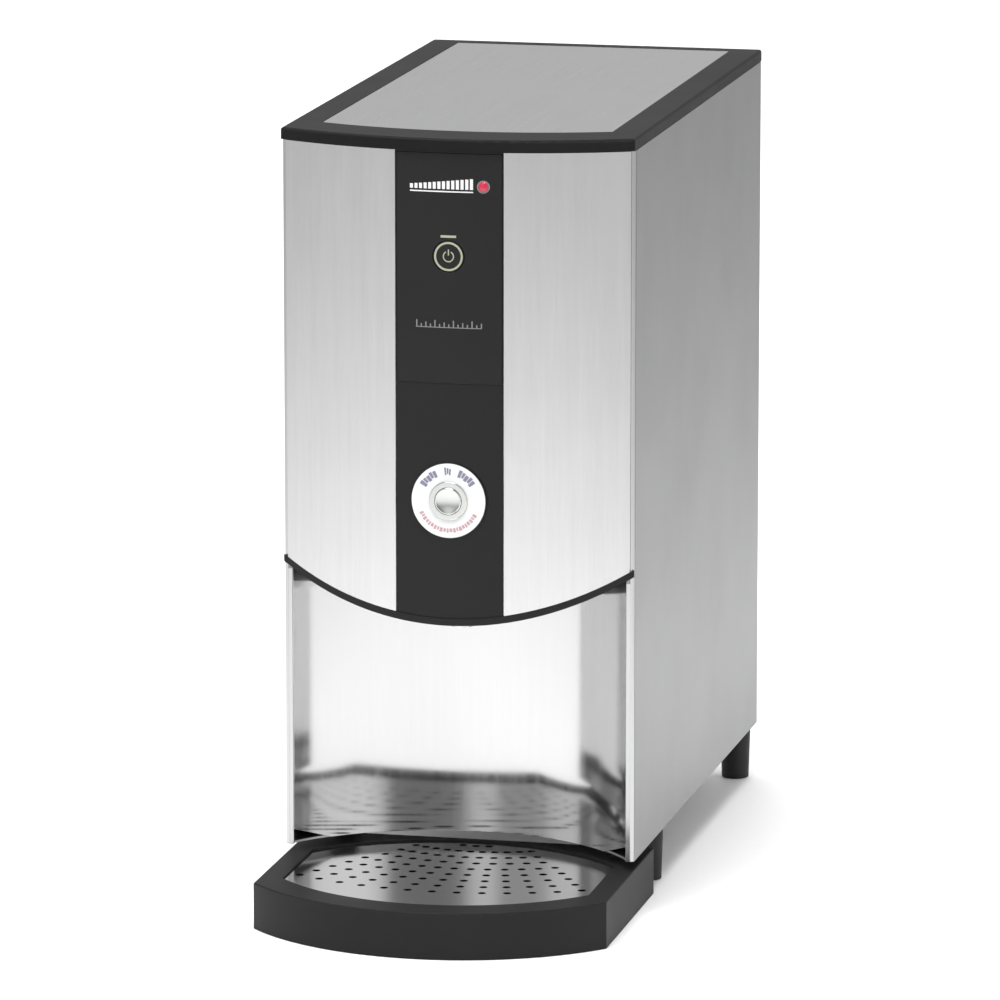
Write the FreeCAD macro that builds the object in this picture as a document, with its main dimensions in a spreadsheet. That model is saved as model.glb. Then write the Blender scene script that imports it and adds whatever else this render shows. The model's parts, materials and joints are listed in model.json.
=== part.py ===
import FreeCAD, Part
import math
import os
import re

from FreeCAD import Placement, Rotation, Vector

os.makedirs("parts", exist_ok=True)
doc = FreeCAD.newDocument("water_dispenser")

# ---------------------------------------------------------------------------------------------
# Driving dimensions, in millimetres.  +Z is up, the user stands at -Y, the countertop is z = 0.
# ---------------------------------------------------------------------------------------------
DIMENSIONS = (
    ("width", 211.0),
    ("corner_y", -135.0),
    ("rear_y", 247.0),
    ("body_bottom", 33.0),
    ("panel_top", 455.7),
    ("metal", 1.0),
    ("bend", 2.5),
    ("front_flange", 5.0),
    ("rear_flange", 10.0),
    ("pan_metal", 1.2),
    ("pan_wall", 13.0),
    ("lid_bottom", 456.0),
    ("lid_height", 7.0),
    ("lid_overhang", 2.0),
    ("lid_wall", 2.5),
    ("inlay_metal", 0.8),
    ("inlay_width", 173.6),
    ("inlay_bow", 17.5),
    ("inlay_corner_y", -113.0),
    ("inlay_rim", 11.0),
    ("front_width", 206.0),
    ("front_bow", 24.0),
    ("front_proud", 1.5),
    ("skin", 1.5),
    ("moulding_wall", 2.5),
    ("strip_width", 64.0),
    ("strip_recess", 0.7),
    ("trim_height", 4.2),
    ("arch_bottom", 175.5),
    ("arch_rise", 29.0),
    ("fascia_bottom", 319.2),
    ("fascia_top", 454.4),
    ("splash_half", 100.5),
    ("splash_bow", 54.0),
    ("tray_length_y", -211.0),
    ("tray_bow", 48.0),
    ("tray_back", -77.0),
    ("tray_height", 27.6),
    ("tray_wall", 2.5),
    ("grille_half", 91.5),
    ("grille_corner_y", -196.0),
    ("grille_bow", 43.0),
    ("grille_metal", 1.0),
    ("grille_recess", 1.1),
    ("grille_hole", 4.8),
    ("button_z", 250.0),
    ("button_travel", 2.5),
    ("label_radius", 22.0),
    ("cap_radius", 11.75),
    ("plunger_radius", 8.0),
    ("power_key_z", 394.0),
    ("power_key_radius", 9.15),
    ("nozzle_y", -125.0),
    ("nozzle_bottom", 168.5),
    ("nozzle_bore", 5.0),
    ("foot_height", 33.0),
    ("foot_top_radius", 9.5),
    ("foot_bottom_radius", 8.5),
    ("foot_x", 94.0),
    ("foot_front_y", -40.0),
    ("foot_rear_y", 232.5),
    ("tank_half", 78.0),
    ("tank_front", 36.0),
    ("tank_rear", 196.0),
    ("tank_bottom", 192.0),
    ("tank_top", 388.0),
    ("tank_metal", 1.2),
    ("jacket", 10.0),
    ("shelf_top", 180.0),
    ("shelf_metal", 1.5),
    ("outlet_z", 205.0),
    ("inlet_x", 60.0),
    ("inlet_z", 80.0),
    ("inlet_thread", 13.22),
    ("inlet_collar", 14.5),
    ("inlet_nut_width", 3.5),
    ("gland_x", -60.0),
    ("gland_z", 75.0),
    ("gland_bore", 4.2),
    ("overflow_x", -60.0),
    ("overflow_z", 140.0),
    ("overflow_radius", 5.0),
    ("fitting_reach", 12.0),
    ("board_z", 52.0),
)

sheet = doc.addObject("Spreadsheet::Sheet", "Dimensions")
for row, (alias, number) in enumerate(DIMENSIONS, start=1):
    sheet.set(f"A{row}", alias)
    sheet.set(f"B{row}", str(number))
    sheet.setAlias(f"B{row}", alias)
doc.recompute()
D = {alias: float(sheet.get(alias)) for alias, _ in DIMENSIONS}

subparts = []


# ---------------------------------------------------------------------------------------------
# Helpers
# ---------------------------------------------------------------------------------------------
def linked(text):
    """Spell out the sheet's name in front of every alias of an expression."""
    return re.sub(r"[a-z_]+", lambda word: f"Dimensions.{word[0]}" if word[0] in D else word[0], str(text))


def bind(thing, **properties):
    for name, text in properties.items():
        thing.setExpression(name, linked(text))


def place(thing, corner, rotation=None):
    """Put an object at a point whose three coordinates are expressions of the sheet."""
    if rotation:
        thing.Placement = Placement(Vector(), rotation)
    for letter, text in zip("xyz", corner):
        thing.setExpression(f"Placement.Base.{letter}", linked(text))
    return thing


def node(thing, label):
    thing.Label = label
    subparts.append(thing)
    return thing


DIRECTIONS = {
    "Z": Rotation(),
    "Y": Rotation(Vector(1, 0, 0), -90),
    "-Z": Rotation(Vector(1, 0, 0), 180),
    "-Y": Rotation(Vector(1, 0, 0), 90),
}


def box(name, size, corner):
    block = doc.addObject("Part::Box", name)
    bind(block, Length=size[0], Width=size[1], Height=size[2])
    return place(block, corner)


def cylinder(name, radius, length, base, along="Z"):
    rod = doc.addObject("Part::Cylinder", name)
    bind(rod, Radius=radius, Height=length)
    return place(rod, base, DIRECTIONS[along])


def cone(name, base_radius, end_radius, length, base, along="Z"):
    body = doc.addObject("Part::Cone", name)
    bind(body, Radius1=base_radius, Radius2=end_radius, Height=length)
    return place(body, base, DIRECTIONS[along])


def hexagon(name, circumradius, length, base, along="Z"):
    prism = doc.addObject("Part::Prism", name)
    prism.Polygon = 6
    bind(prism, Circumradius=circumradius, Height=length)
    return place(prism, base, DIRECTIONS[along])


def fuse(name, *pieces):
    if len(pieces) == 1:
        return pieces[0]
    joined = doc.addObject("Part::MultiFuse", name)
    joined.Shapes = list(pieces)
    joined.Refine = True
    return joined


def cut(name, base, *tools):
    result = doc.addObject("Part::Cut", name)
    result.Base = base
    result.Tool = fuse(f"{name}_tools", *tools)
    return result


def common(name, first, second):
    result = doc.addObject("Part::MultiCommon", name)
    result.Shapes = [first, second]
    return result


def group(name, *pieces):
    """Several separate solids kept in one node."""
    result = doc.addObject("Part::Compound", name)
    result.Links = list(pieces)
    return result


def solid(name, shape):
    thing = doc.addObject("Part::Feature", name)
    thing.Shape = shape
    return thing


def tube(name, outer, inner, length, base, along="Z"):
    wall = cylinder(f"{name}_outer", outer, length, base, along)
    return cut(name, wall, cylinder(f"{name}_bore", inner, length, base, along))


def on_circle(centre, radius, offset, side):
    """The other coordinate of a circle's point: side is -1 for the near half, +1 for the far half."""
    return centre + side * math.sqrt(radius**2 - offset**2)


def bow_radius(half_width, bow):
    return (half_width**2 + bow**2) / (2 * bow)


def outline(points):
    """Sketch curves through points; a point given as (mid, end) is reached by an arc through mid."""
    curves = []
    here = Vector(*points[0])
    for step in points[1:] + [points[0]]:
        if isinstance(step[0], tuple):
            middle, end = Vector(*step[0]), Vector(*step[1])
            curves.append(Part.Arc(here, middle, end))
        else:
            end = Vector(*step)
            if (end - here).Length < 1e-6:
                continue
            curves.append(Part.LineSegment(here, end))
        here = end
    return curves


def padded(name, curves, length, height="0", plane="XY_Plane"):
    """A body padded from one closed sketch, starting at a height along the sketch's normal."""
    body = doc.addObject("PartDesign::Body", name)
    sketch = body.newObject("Sketcher::SketchObject", f"{name}_sketch")
    origin_plane = [item for item in body.Origin.OriginFeatures if item.Role == plane][0]
    sketch.AttachmentSupport = (origin_plane, [""])
    sketch.MapMode = "FlatFace"
    sketch.addGeometry(curves, False)
    pad = body.newObject("PartDesign::Pad", f"{name}_pad")
    pad.Profile = sketch
    bind(pad, Length=length)
    letter = "z" if plane == "XY_Plane" else "y"
    body.setExpression(f"Placement.Base.{letter}", linked(height))
    return body


def rounded_rectangle(x_low, x_high, y_low, y_high, radius):
    reach = radius * (1 - math.sqrt(0.5))
    return outline(
        [
            (x_low + radius, y_low),
            (x_high - radius, y_low),
            ((x_high - reach, y_low + reach), (x_high, y_low + radius)),
            (x_high, y_high - radius),
            ((x_high - reach, y_high - reach), (x_high - radius, y_high)),
            (x_low + radius, y_high),
            ((x_low + reach, y_high - reach), (x_low, y_high - radius)),
            (x_low, y_low + radius),
            ((x_low + reach, y_low + reach), (x_low + radius, y_low)),
        ]
    )


def route_wire(points):
    """Straight runs joined by tangent arcs, each as large as its two runs allow."""
    points = [Vector(*point) for point in points]
    edges = []
    here = points[0]
    for before, corner, after in zip(points, points[1:], points[2:]):
        back = (before - corner).normalize()
        ahead = (after - corner).normalize()
        half_turn = (math.pi - back.getAngle(ahead)) / 2
        reach = 0.45 * min(before.distanceToPoint(corner), after.distanceToPoint(corner))
        radius = reach / math.tan(half_turn)
        inward = (back + ahead).normalize()
        middle = corner + inward * (radius / math.cos(half_turn) - radius)
        start, end = corner + back * reach, corner + ahead * reach
        edges.append(Part.LineSegment(here, start).toShape())
        edges.append(Part.Arc(start, middle, end).toShape())
        here = end
    edges.append(Part.LineSegment(here, points[-1]).toShape())
    return Part.Wire(edges)


def swept(points, radius):
    path = route_wire(points)
    start, heading = Vector(*points[0]), Vector(*points[1]) - Vector(*points[0])
    section = Part.Wire([Part.makeCircle(radius, start, heading)])
    return path.makePipeShell([section], True, False)


def hose(name, points, outer, inner):
    return node(solid(name, swept(points, outer).cut(swept(points, inner))), name)


def spring(name, radius, wire, length, turns, base, along="Z"):
    """An open coil; its length includes half a wire at each end."""
    coil = Part.makeHelix((length - wire) / turns, length - wire, radius)
    section = Part.Wire([Part.makeCircle(wire / 2, Vector(radius, 0, 0), Vector(0, 1, 0))])
    body = solid(name, coil.makePipeShell([section], True, True))
    lift = DIRECTIONS[along].multVec(Vector(0, 0, wire / 2))
    body.Placement = Placement(Vector(*base) + lift, DIRECTIONS[along])
    return node(body, name)


# ---------------------------------------------------------------------------------------------
# Curves that several pieces share
# ---------------------------------------------------------------------------------------------
HALF = D["width"] / 2
FRONT_HALF = D["front_width"] / 2
FRONT_EDGE_Y = D["corner_y"] - D["front_proud"]
FRONT_RADIUS = bow_radius(FRONT_HALF, D["front_bow"])
FRONT_CENTRE = FRONT_EDGE_Y - D["front_bow"] + FRONT_RADIUS
STRIP_HALF = D["strip_width"] / 2
ARCH_RADIUS = bow_radius(HALF, D["arch_rise"])
ARCH_CENTRE = D["arch_bottom"] + ARCH_RADIUS
SPLASH_FACE_Y = D["corner_y"] + D["metal"]
SPLASH_RADIUS = bow_radius(D["splash_half"], D["splash_bow"])
SPLASH_CENTRE = SPLASH_FACE_Y + D["splash_bow"] - SPLASH_RADIUS
TRAY_RADIUS = bow_radius(HALF, D["tray_bow"])
TRAY_CENTRE = D["tray_length_y"] - D["tray_bow"] + TRAY_RADIUS
PANEL_INNER = HALF - D["metal"]
REAR_INNER = D["rear_y"] - D["metal"]


def front_y(x, radius):
    return on_circle(FRONT_CENTRE, radius, x, -1)


def splash_y(x, radius):
    return on_circle(SPLASH_CENTRE, radius, x, 1)


def front_band(x_low, x_high, outer, inner):
    """Plan of a piece of the convex front between two radii."""
    middle = (x_low + x_high) / 2
    return outline(
        [
            (x_low, front_y(x_low, outer)),
            ((middle, front_y(middle, outer)), (x_high, front_y(x_high, outer))),
            (x_high, front_y(x_high, inner)),
            ((middle, front_y(middle, inner)), (x_low, front_y(x_low, inner))),
        ]
    )


def arch_block(name, low, high):
    """Block with curved faces, following the front's lower edge from one height above it to another."""
    reach = HALF + 4
    edge = [on_circle(ARCH_CENTRE, ARCH_RADIUS, reach, -1), D["arch_bottom"]]
    curves = outline(
        [
            (-reach, edge[0] + low),
            ((0, edge[1] + low), (reach, edge[0] + low)),
            (reach, edge[0] + high),
            ((0, edge[1] + high), (-reach, edge[0] + high)),
        ]
    )
    return padded(name, curves, "200", "0", "XZ_Plane")


# ---------------------------------------------------------------------------------------------
# Casing: folded side panels, rear panel, base pan
# ---------------------------------------------------------------------------------------------
def side_panel(name, side):
    """Sheet folded round a vertical bend at the front and another at the rear."""
    front, rear = D["corner_y"], REAR_INNER
    bend, metal = D["bend"], D["metal"]
    far = HALF - bend
    inner_bend = bend - metal
    part_way = math.sqrt(0.5)
    plan = [
        (HALF - D["front_flange"], front),
        (far, front),
        ((far + bend * part_way, front + bend - bend * part_way), (HALF, front + bend)),
        (HALF, rear - bend),
        ((far + bend * part_way, rear - bend + bend * part_way), (far, rear)),
        (HALF - D["rear_flange"], rear),
        (HALF - D["rear_flange"], rear - metal),
        (far, rear - metal),
        ((far + inner_bend * part_way, rear - bend + inner_bend * part_way), (HALF - metal, rear - bend)),
        (HALF - metal, front + bend),
        ((far + inner_bend * part_way, front + bend - inner_bend * part_way), (far, front + metal)),
        (HALF - D["front_flange"], front + metal),
    ]
    mirrored = [
        tuple((side * x, y) for x, y in step) if isinstance(step[0], tuple) else (side * step[0], step[1])
        for step in plan
    ]
    return padded(f"{name}_sheet", outline(mirrored), "panel_top - body_bottom", "body_bottom")


SCREW_HEIGHTS = (60.0, 245.0, 430.0)
SCREW_X = HALF - 6.5
SCREW_RADIUS = 2.0
SCREW_HOLE = 2.15
for side_name, side in (("left", -1), ("right", 1)):
    label = f"side_panel_{side_name}"
    holes = [
        cylinder(f"{label}_hole_{i}", SCREW_HOLE, 6, (side * SCREW_X, "rear_y - 5", z), "Y")
        for i, z in enumerate(SCREW_HEIGHTS)
    ]
    node(cut(label, side_panel(label, side), *holes), label)

rear_sheet = box(
    "rear_sheet",
    ("width - 2 * 1.2", "metal", "panel_top - body_bottom - 1.2"),
    ("-width / 2 + 1.2", "rear_y - metal", "body_bottom + 1"),
)
GLAND_THREAD = 8.0
SLOT_LENGTH = 46.0
SLOT_HEIGHT = 3.0
rear_cuts = [
    box(f"rear_slot_{column}_{row}", (SLOT_LENGTH, 4, SLOT_HEIGHT), (x, "rear_y - 3", 215 + 9 * row))
    for column, x in enumerate((-SLOT_LENGTH - 8, 8))
    for row in range(6)
]
rear_cuts += [
    cylinder(f"rear_screw_hole_{side}_{i}", SCREW_HOLE, 6, (side * SCREW_X, "rear_y - 5", z), "Y")
    for side in (-1, 1)
    for i, z in enumerate(SCREW_HEIGHTS)
]
rear_cuts += [
    cylinder(f"rear_{name}_hole", radius, 6, (f"{name}_x", "rear_y - 3", f"{name}_z"), "Y")
    for name, radius in (
        ("inlet", "inlet_collar + 0.2"),
        ("gland", GLAND_THREAD + 0.2),
        ("overflow", "overflow_radius + 3.2"),
    )
]
node(cut("rear_panel", rear_sheet, *rear_cuts), "rear_panel")


def pan_screw(name, x, y, z, along):
    """Pan-head screw whose head stands on a sheet and whose shank goes the other way."""
    head = cone(f"{name}_head", 3.9, 3.1, 2.2, (x, y, z), along)
    shank = cylinder(f"{name}_shank", SCREW_RADIUS, 9, (x, y, z), "-" + along)
    slot = box(f"{name}_slot", (6, 1.2, 0.9), (x - 3, y + 1.5, z - 0.45))
    return cut(name, fuse(f"{name}_blank", head, shank), slot)


node(
    group(
        "panel_screws",
        *[
            pan_screw(f"panel_screw_{side + 1}_{i}", side * SCREW_X, D["rear_y"], z, "Y")
            for side in (-1, 1)
            for i, z in enumerate(SCREW_HEIGHTS)
        ],
    ),
    "panel_screws",
)


def base_pan():
    """Bottom tray of the casing, its front edge behind the concave splash panel."""
    edge = SPLASH_RADIUS + D["metal"] + 0.3
    half, rear = PANEL_INNER - 0.3, REAR_INNER - 2.2
    flat_y = SPLASH_FACE_Y + D["metal"] + 0.3
    corner = math.sqrt(edge**2 - (flat_y - SPLASH_CENTRE) ** 2)
    floor_curves = outline(
        [
            (-half, flat_y),
            (-corner, flat_y),
            ((0, SPLASH_CENTRE + edge), (corner, flat_y)),
            (half, flat_y),
            (half, rear),
            (-half, rear),
        ]
    )
    floor = padded("base_floor", floor_curves, "pan_metal", "body_bottom")
    wall, depth = D["pan_metal"], rear - flat_y
    walls = [
        box("base_wall_left", (wall, depth, "pan_wall"), (-half, flat_y, "body_bottom")),
        box("base_wall_right", (wall, depth, "pan_wall"), (half - wall, flat_y, "body_bottom")),
        box("base_wall_rear", (2 * half, wall, "pan_wall"), (-half, rear - wall, "body_bottom")),
    ]
    holes = [
        cylinder(f"base_stud_hole_{i}", 3.1, 6, (x, y, "body_bottom - 2"))
        for i, (x, y) in enumerate(FOOT_CENTRES)
    ]
    holes += [
        box(f"base_vent_{i}", (4, 50, 6), (30 + 9 * i, -30, "body_bottom - 2"))
        for i in range(5)
    ]
    holes.append(cylinder("base_drain_hole", 7.2, 6, (0, DRAIN_Y, "body_bottom - 2")))
    return cut("base_pan", fuse("base_blank", floor, *walls), *holes)


FOOT_CENTRES = [
    (side * D["foot_x"], D[row]) for row in ("foot_front_y", "foot_rear_y") for side in (-1, 1)
]
FOOT_NAMES = ("front_left", "front_right", "rear_left", "rear_right")
DRAIN_Y = 90.0
node(base_pan(), "base_pan")


# ---------------------------------------------------------------------------------------------
# Feet
# ---------------------------------------------------------------------------------------------
STUD_RADIUS = 3.0


def foot(name, x, y):
    rubber = cone(f"{name}_rubber", "foot_bottom_radius", "foot_top_radius", "foot_height", (x, y, 0))
    return fuse(name, rubber, cylinder(f"{name}_stud", STUD_RADIUS, "13.5", (x, y, "body_bottom - 0.5")))


node(group("feet", *[foot(f"foot_{name}", x, y) for name, (x, y) in zip(FOOT_NAMES, FOOT_CENTRES)]), "feet")
node(
    group(
        "foot_nuts",
        *[
            cut(
                f"foot_nut_{name}",
                hexagon(f"foot_nut_{name}_hex", 5.8, 5, (x, y, "body_bottom + pan_metal")),
                cylinder(f"foot_nut_{name}_bore", STUD_RADIUS, 5, (x, y, "body_bottom + pan_metal")),
            )
            for name, (x, y) in zip(FOOT_NAMES, FOOT_CENTRES)
        ],
    ),
    "foot_nuts",
)


# ---------------------------------------------------------------------------------------------
# Lid: plastic frame with a steel plate let into its top
# ---------------------------------------------------------------------------------------------
def lid_plan(inset):
    """Outline of the lid, pulled in on every side."""
    half, rear = HALF - inset, D["rear_y"] - inset
    radius = FRONT_RADIUS + D["lid_overhang"] - inset
    side_y = front_y(half, radius)
    corner = 2.0
    cutoff = corner * (1 - math.sqrt(0.5))
    return outline(
        [
            (-half, side_y),
            ((0, FRONT_CENTRE - radius), (half, side_y)),
            (half, rear - corner),
            ((half - cutoff, rear - cutoff), (half - corner, rear)),
            (-half + corner, rear),
            ((-half + cutoff, rear - cutoff), (-half, rear - corner)),
        ]
    )


def inlay_plan(grow):
    half, rear = D["inlay_width"] / 2 + grow, D["rear_y"] - D["inlay_rim"] + grow
    front = D["inlay_corner_y"] - grow
    middle = front - D["inlay_bow"]
    return outline([(-half, front), ((0, middle), (half, front)), (half, rear), (-half, rear)])


RIB_HALF = 101.0
RIB_DEPTH = 5.0
lid_block = padded("lid_block", lid_plan(0), "lid_height", "lid_bottom")
lid_edges = doc.addObject("Part::Fillet", "lid_rounded")
lid_edges.Base = lid_block
doc.recompute()
TOP_Z = D["lid_bottom"] + D["lid_height"]
top_edges = [
    number
    for number, edge in enumerate(lid_block.Shape.Edges, start=1)
    if min(vertex.Z for vertex in edge.Vertexes) > TOP_Z - 0.01
]
lid_edges.Edges = [(number, 1.6, 1.6) for number in top_edges]
lid_hollow = padded("lid_hollow", lid_plan(D["lid_wall"]), "lid_height - lid_wall", "lid_bottom")
lid_recess = padded("lid_recess", inlay_plan(0.15), "2", "lid_bottom + lid_height - inlay_metal - 0.2")
RIB_FRONT, RIB_REAR = -95.0, 240.0
RIB_WALL = 2.0
rib_outer = box(
    "lid_rib_outer",
    (2 * RIB_HALF, RIB_REAR - RIB_FRONT, f"{RIB_DEPTH} + lid_height - lid_wall"),
    (-RIB_HALF, RIB_FRONT, f"lid_bottom - {RIB_DEPTH}"),
)
rib_inner = box(
    "lid_rib_inner",
    (2 * (RIB_HALF - RIB_WALL), RIB_REAR - RIB_FRONT - 2 * RIB_WALL, f"{RIB_DEPTH} + lid_height - lid_wall"),
    (RIB_WALL - RIB_HALF, RIB_FRONT + RIB_WALL, f"lid_bottom - {RIB_DEPTH}"),
)
lid_shell = cut("lid_shell", lid_edges, lid_hollow, lid_recess)
node(fuse("lid_frame", lid_shell, cut("lid_rib", rib_outer, rib_inner)), "lid_frame")
node(
    padded("lid_inlay_plate", inlay_plan(0), "inlay_metal", "lid_bottom + lid_height - inlay_metal - 0.2"),
    "lid_inlay_plate",
)


# ---------------------------------------------------------------------------------------------
# Convex upper front
# ---------------------------------------------------------------------------------------------
SKIN_INNER = FRONT_RADIUS - D["skin"]
WALL_INNER = SKIN_INNER - D["moulding_wall"]
STRIP_RADIUS = FRONT_RADIUS - D["strip_recess"]
FASCIA_BACK = SKIN_INNER - 0.2
FASCIA_FACE = FRONT_RADIUS - 0.5
FASCIA_HALF = STRIP_HALF - 0.7
KEY_HOLE = D["power_key_radius"] + 0.35
FRONT_Y = FRONT_CENTRE - FRONT_RADIUS
BOSS_Y = FRONT_Y + 0.3
BOSS_DEPTH = 6.0
BOSS_END = BOSS_Y + BOSS_DEPTH
BARREL_RADIUS = 9.4
above_trim = arch_block("above_trim", D["trim_height"], 320)
above_arch = arch_block("above_arch", 0, 320)
trim_band = arch_block("trim_band", 0, D["trim_height"])


def front_skin(name, side):
    """Steel sheet between the centre strip and the side, its edge rolled over beside the strip."""
    roll = 1.2
    near, far = STRIP_HALF, FRONT_HALF
    middle = (near + far) / 2
    back_y = D["corner_y"] - 0.05
    back_x = math.sqrt(SKIN_INNER**2 - (FRONT_CENTRE - back_y) ** 2)
    dip = roll * (1 - math.sqrt(0.5))
    plan = [
        (near, front_y(near, SKIN_INNER)),
        (near, front_y(near, FRONT_RADIUS) + roll),
        (
            (near + dip, front_y(near + dip, FRONT_RADIUS) + dip),
            (near + roll, front_y(near + roll, FRONT_RADIUS)),
        ),
        ((middle, front_y(middle, FRONT_RADIUS)), (far, front_y(far, FRONT_RADIUS))),
        (far, back_y),
        (back_x, back_y),
        ((middle, front_y(middle, SKIN_INNER)), (near, front_y(near, SKIN_INNER))),
    ]
    mirrored = [
        tuple((side * x, y) for x, y in step) if isinstance(step[0], tuple) else (side * step[0], step[1])
        for step in plan
    ]
    return padded(name, outline(mirrored), "panel_top - 160", "160")


for side_name, side in (("left", -1), ("right", 1)):
    label = f"front_steel_{side_name}"
    node(common(label, front_skin(f"{label}_sheet", side), above_trim), label)


def trim_lip():
    """Plan of the lower trim: it follows the front and wraps round the side panels' bends."""
    start = SKIN_INNER
    inner_half = FRONT_HALF - D["front_flange"]
    pivot = (HALF - D["bend"], D["corner_y"] + D["bend"])
    outer = pivot[1] - FRONT_EDGE_Y
    inner = D["bend"] + 0.05
    turn = math.radians(38)

    def around(radius, angle, side):
        return (side * (pivot[0] + radius * math.sin(angle)), pivot[1] - radius * math.cos(angle))

    return outline(
        [
            (-pivot[0], front_y(FRONT_HALF, FRONT_RADIUS)),
            ((0, FRONT_Y), (pivot[0], FRONT_EDGE_Y)),
            (around(outer, turn / 2, 1), around(outer, turn, 1)),
            around(inner, turn, 1),
            (around(inner, turn / 2, 1), around(inner, 0, 1)),
            (inner_half, pivot[1] - inner),
            (inner_half, front_y(inner_half, start)),
            ((0, FRONT_CENTRE - start), (-inner_half, front_y(inner_half, start))),
            (-inner_half, pivot[1] - inner),
            around(inner, 0, -1),
            (around(inner, turn / 2, -1), around(inner, turn, -1)),
            around(outer, turn, -1),
            (around(outer, turn / 2, -1), (-pivot[0], FRONT_EDGE_Y)),
        ]
    )


def front_moulding():
    wall_half = HALF - D["front_flange"] - 3.5
    wall = common(
        "moulding_wall_cut",
        padded(
            "moulding_wall_plate",
            front_band(-wall_half, wall_half, SKIN_INNER, WALL_INNER),
            "panel_top - 160.2",
            "160",
        ),
        above_arch,
    )
    strip = common(
        "moulding_strip_cut",
        padded(
            "moulding_strip",
            front_band(-STRIP_HALF + 0.2, STRIP_HALF - 0.2, STRIP_RADIUS, SKIN_INNER - 0.5),
            "panel_top - 160.2",
            "160",
        ),
        above_arch,
    )
    lip = common("moulding_lip", padded("moulding_lip_plate", trim_lip(), "70", "160"), trim_band)
    boss = cylinder("moulding_boss", "label_radius + 0.6", BOSS_DEPTH, (0, BOSS_Y, "button_z"), "Y")
    fascia_seat = padded(
        "fascia_seat",
        front_band(-FASCIA_HALF - 0.15, FASCIA_HALF + 0.15, FRONT_RADIUS + 2, FASCIA_BACK),
        "fascia_top - fascia_bottom + 0.3",
        "fascia_bottom - 0.15",
    )
    barrel_hole = cylinder("moulding_barrel_hole", BARREL_RADIUS + 0.1, 30, (0, -170, "button_z"), "Y")
    key_hole = cylinder("moulding_key_hole", KEY_HOLE, 30, (0, -170, "power_key_z"), "Y")
    blank = fuse("moulding_blank", wall, strip, lip, boss)
    return cut("front_moulding", blank, fascia_seat, barrel_hole, key_hole)


node(front_moulding(), "front_moulding")
fascia_plate = padded(
    "fascia_plate",
    front_band(-FASCIA_HALF, FASCIA_HALF, FASCIA_FACE, FASCIA_BACK),
    "fascia_top - fascia_bottom",
    "fascia_bottom",
)
fascia_hole = cylinder("fascia_hole", KEY_HOLE, 30, (0, -170, "power_key_z"), "Y")
node(cut("control_fascia", fascia_plate, fascia_hole), "control_fascia")


# ---------------------------------------------------------------------------------------------
# Concave splash panel and the underside of the head
# ---------------------------------------------------------------------------------------------
def splash_panel():
    metal = D["metal"]
    back = SPLASH_RADIUS + metal
    half = PANEL_INNER - 1.6
    corner = math.sqrt(back**2 - (SPLASH_FACE_Y + metal - SPLASH_CENTRE) ** 2)
    plan = outline(
        [
            (-half, SPLASH_FACE_Y),
            (-D["splash_half"], SPLASH_FACE_Y),
            ((0, SPLASH_CENTRE + SPLASH_RADIUS), (D["splash_half"], SPLASH_FACE_Y)),
            (half, SPLASH_FACE_Y),
            (half, SPLASH_FACE_Y + metal),
            (corner, SPLASH_FACE_Y + metal),
            ((0, SPLASH_CENTRE + back), (-corner, SPLASH_FACE_Y + metal)),
            (-half, SPLASH_FACE_Y + metal),
        ]
    )
    sheet_blank = padded("splash_blank", plan, "200", "body_bottom")
    below_arch = arch_block("below_arch", -160, -0.1)
    return common("splash_panel", sheet_blank, below_arch)


node(splash_panel(), "splash_panel")


def underside_cover():
    front_radius, back_radius = WALL_INNER - 0.2, SPLASH_RADIUS - 0.2
    half = 97.5
    plan = outline(
        [
            (-half, front_y(half, front_radius)),
            ((0, FRONT_CENTRE - front_radius), (half, front_y(half, front_radius))),
            (half, splash_y(half, back_radius)),
            ((0, SPLASH_CENTRE + back_radius), (-half, splash_y(half, back_radius))),
        ]
    )
    plate = common(
        "underside_plate", padded("underside_blank", plan, "70", "160"), arch_block("underside_band", 0, 2.5)
    )
    hole = cylinder("underside_hole", 8.2, 30, (0, "nozzle_y", 165))
    return cut("underside_cover", plate, hole)


node(underside_cover(), "underside_cover")


# ---------------------------------------------------------------------------------------------
# Nozzle
# ---------------------------------------------------------------------------------------------
spout = fuse(
    "nozzle_blank",
    cone("nozzle_tip", 7.0, 8.0, "arch_bottom - nozzle_bottom", (0, "nozzle_y", "nozzle_bottom")),
    cylinder("nozzle_collar", 13, 3, (0, "nozzle_y", "arch_bottom - 3")),
    cylinder("nozzle_stem", 8, 11, (0, "nozzle_y", "arch_bottom")),
    cylinder("nozzle_barb", 6, 20, (0, "nozzle_y", "arch_bottom")),
)
nozzle_passage = cylinder("nozzle_passage", "nozzle_bore", 50, (0, "nozzle_y", "nozzle_bottom - 1"))
node(cut("nozzle", spout, nozzle_passage), "nozzle")


# ---------------------------------------------------------------------------------------------
# Dispense button: metal push button through a printed ring
# ---------------------------------------------------------------------------------------------
LABEL_THICKNESS = 0.6
CAP_HEIGHT = 1.2
LABEL_Y = BOSS_Y - LABEL_THICKNESS
CAP_Y = LABEL_Y - CAP_HEIGHT
BARREL_END = -132.0
BORE_RADIUS = D["plunger_radius"] + 0.08
STEM_RADIUS = 2.0
label_base = (0, LABEL_Y, "button_z")
node(
    tube("button_label_ring", "label_radius", BARREL_RADIUS + 0.1, LABEL_THICKNESS, label_base, "Y"),
    "button_label_ring",
)
barrel_blank = fuse(
    "barrel_blank",
    cone("barrel_flange", "cap_radius - 0.5", "cap_radius", CAP_HEIGHT, (0, CAP_Y, "button_z"), "Y"),
    cylinder("barrel_tube", BARREL_RADIUS, BARREL_END - LABEL_Y, (0, LABEL_Y, "button_z"), "Y"),
)
BARREL_FLOOR = BARREL_END - 2.0
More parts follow.
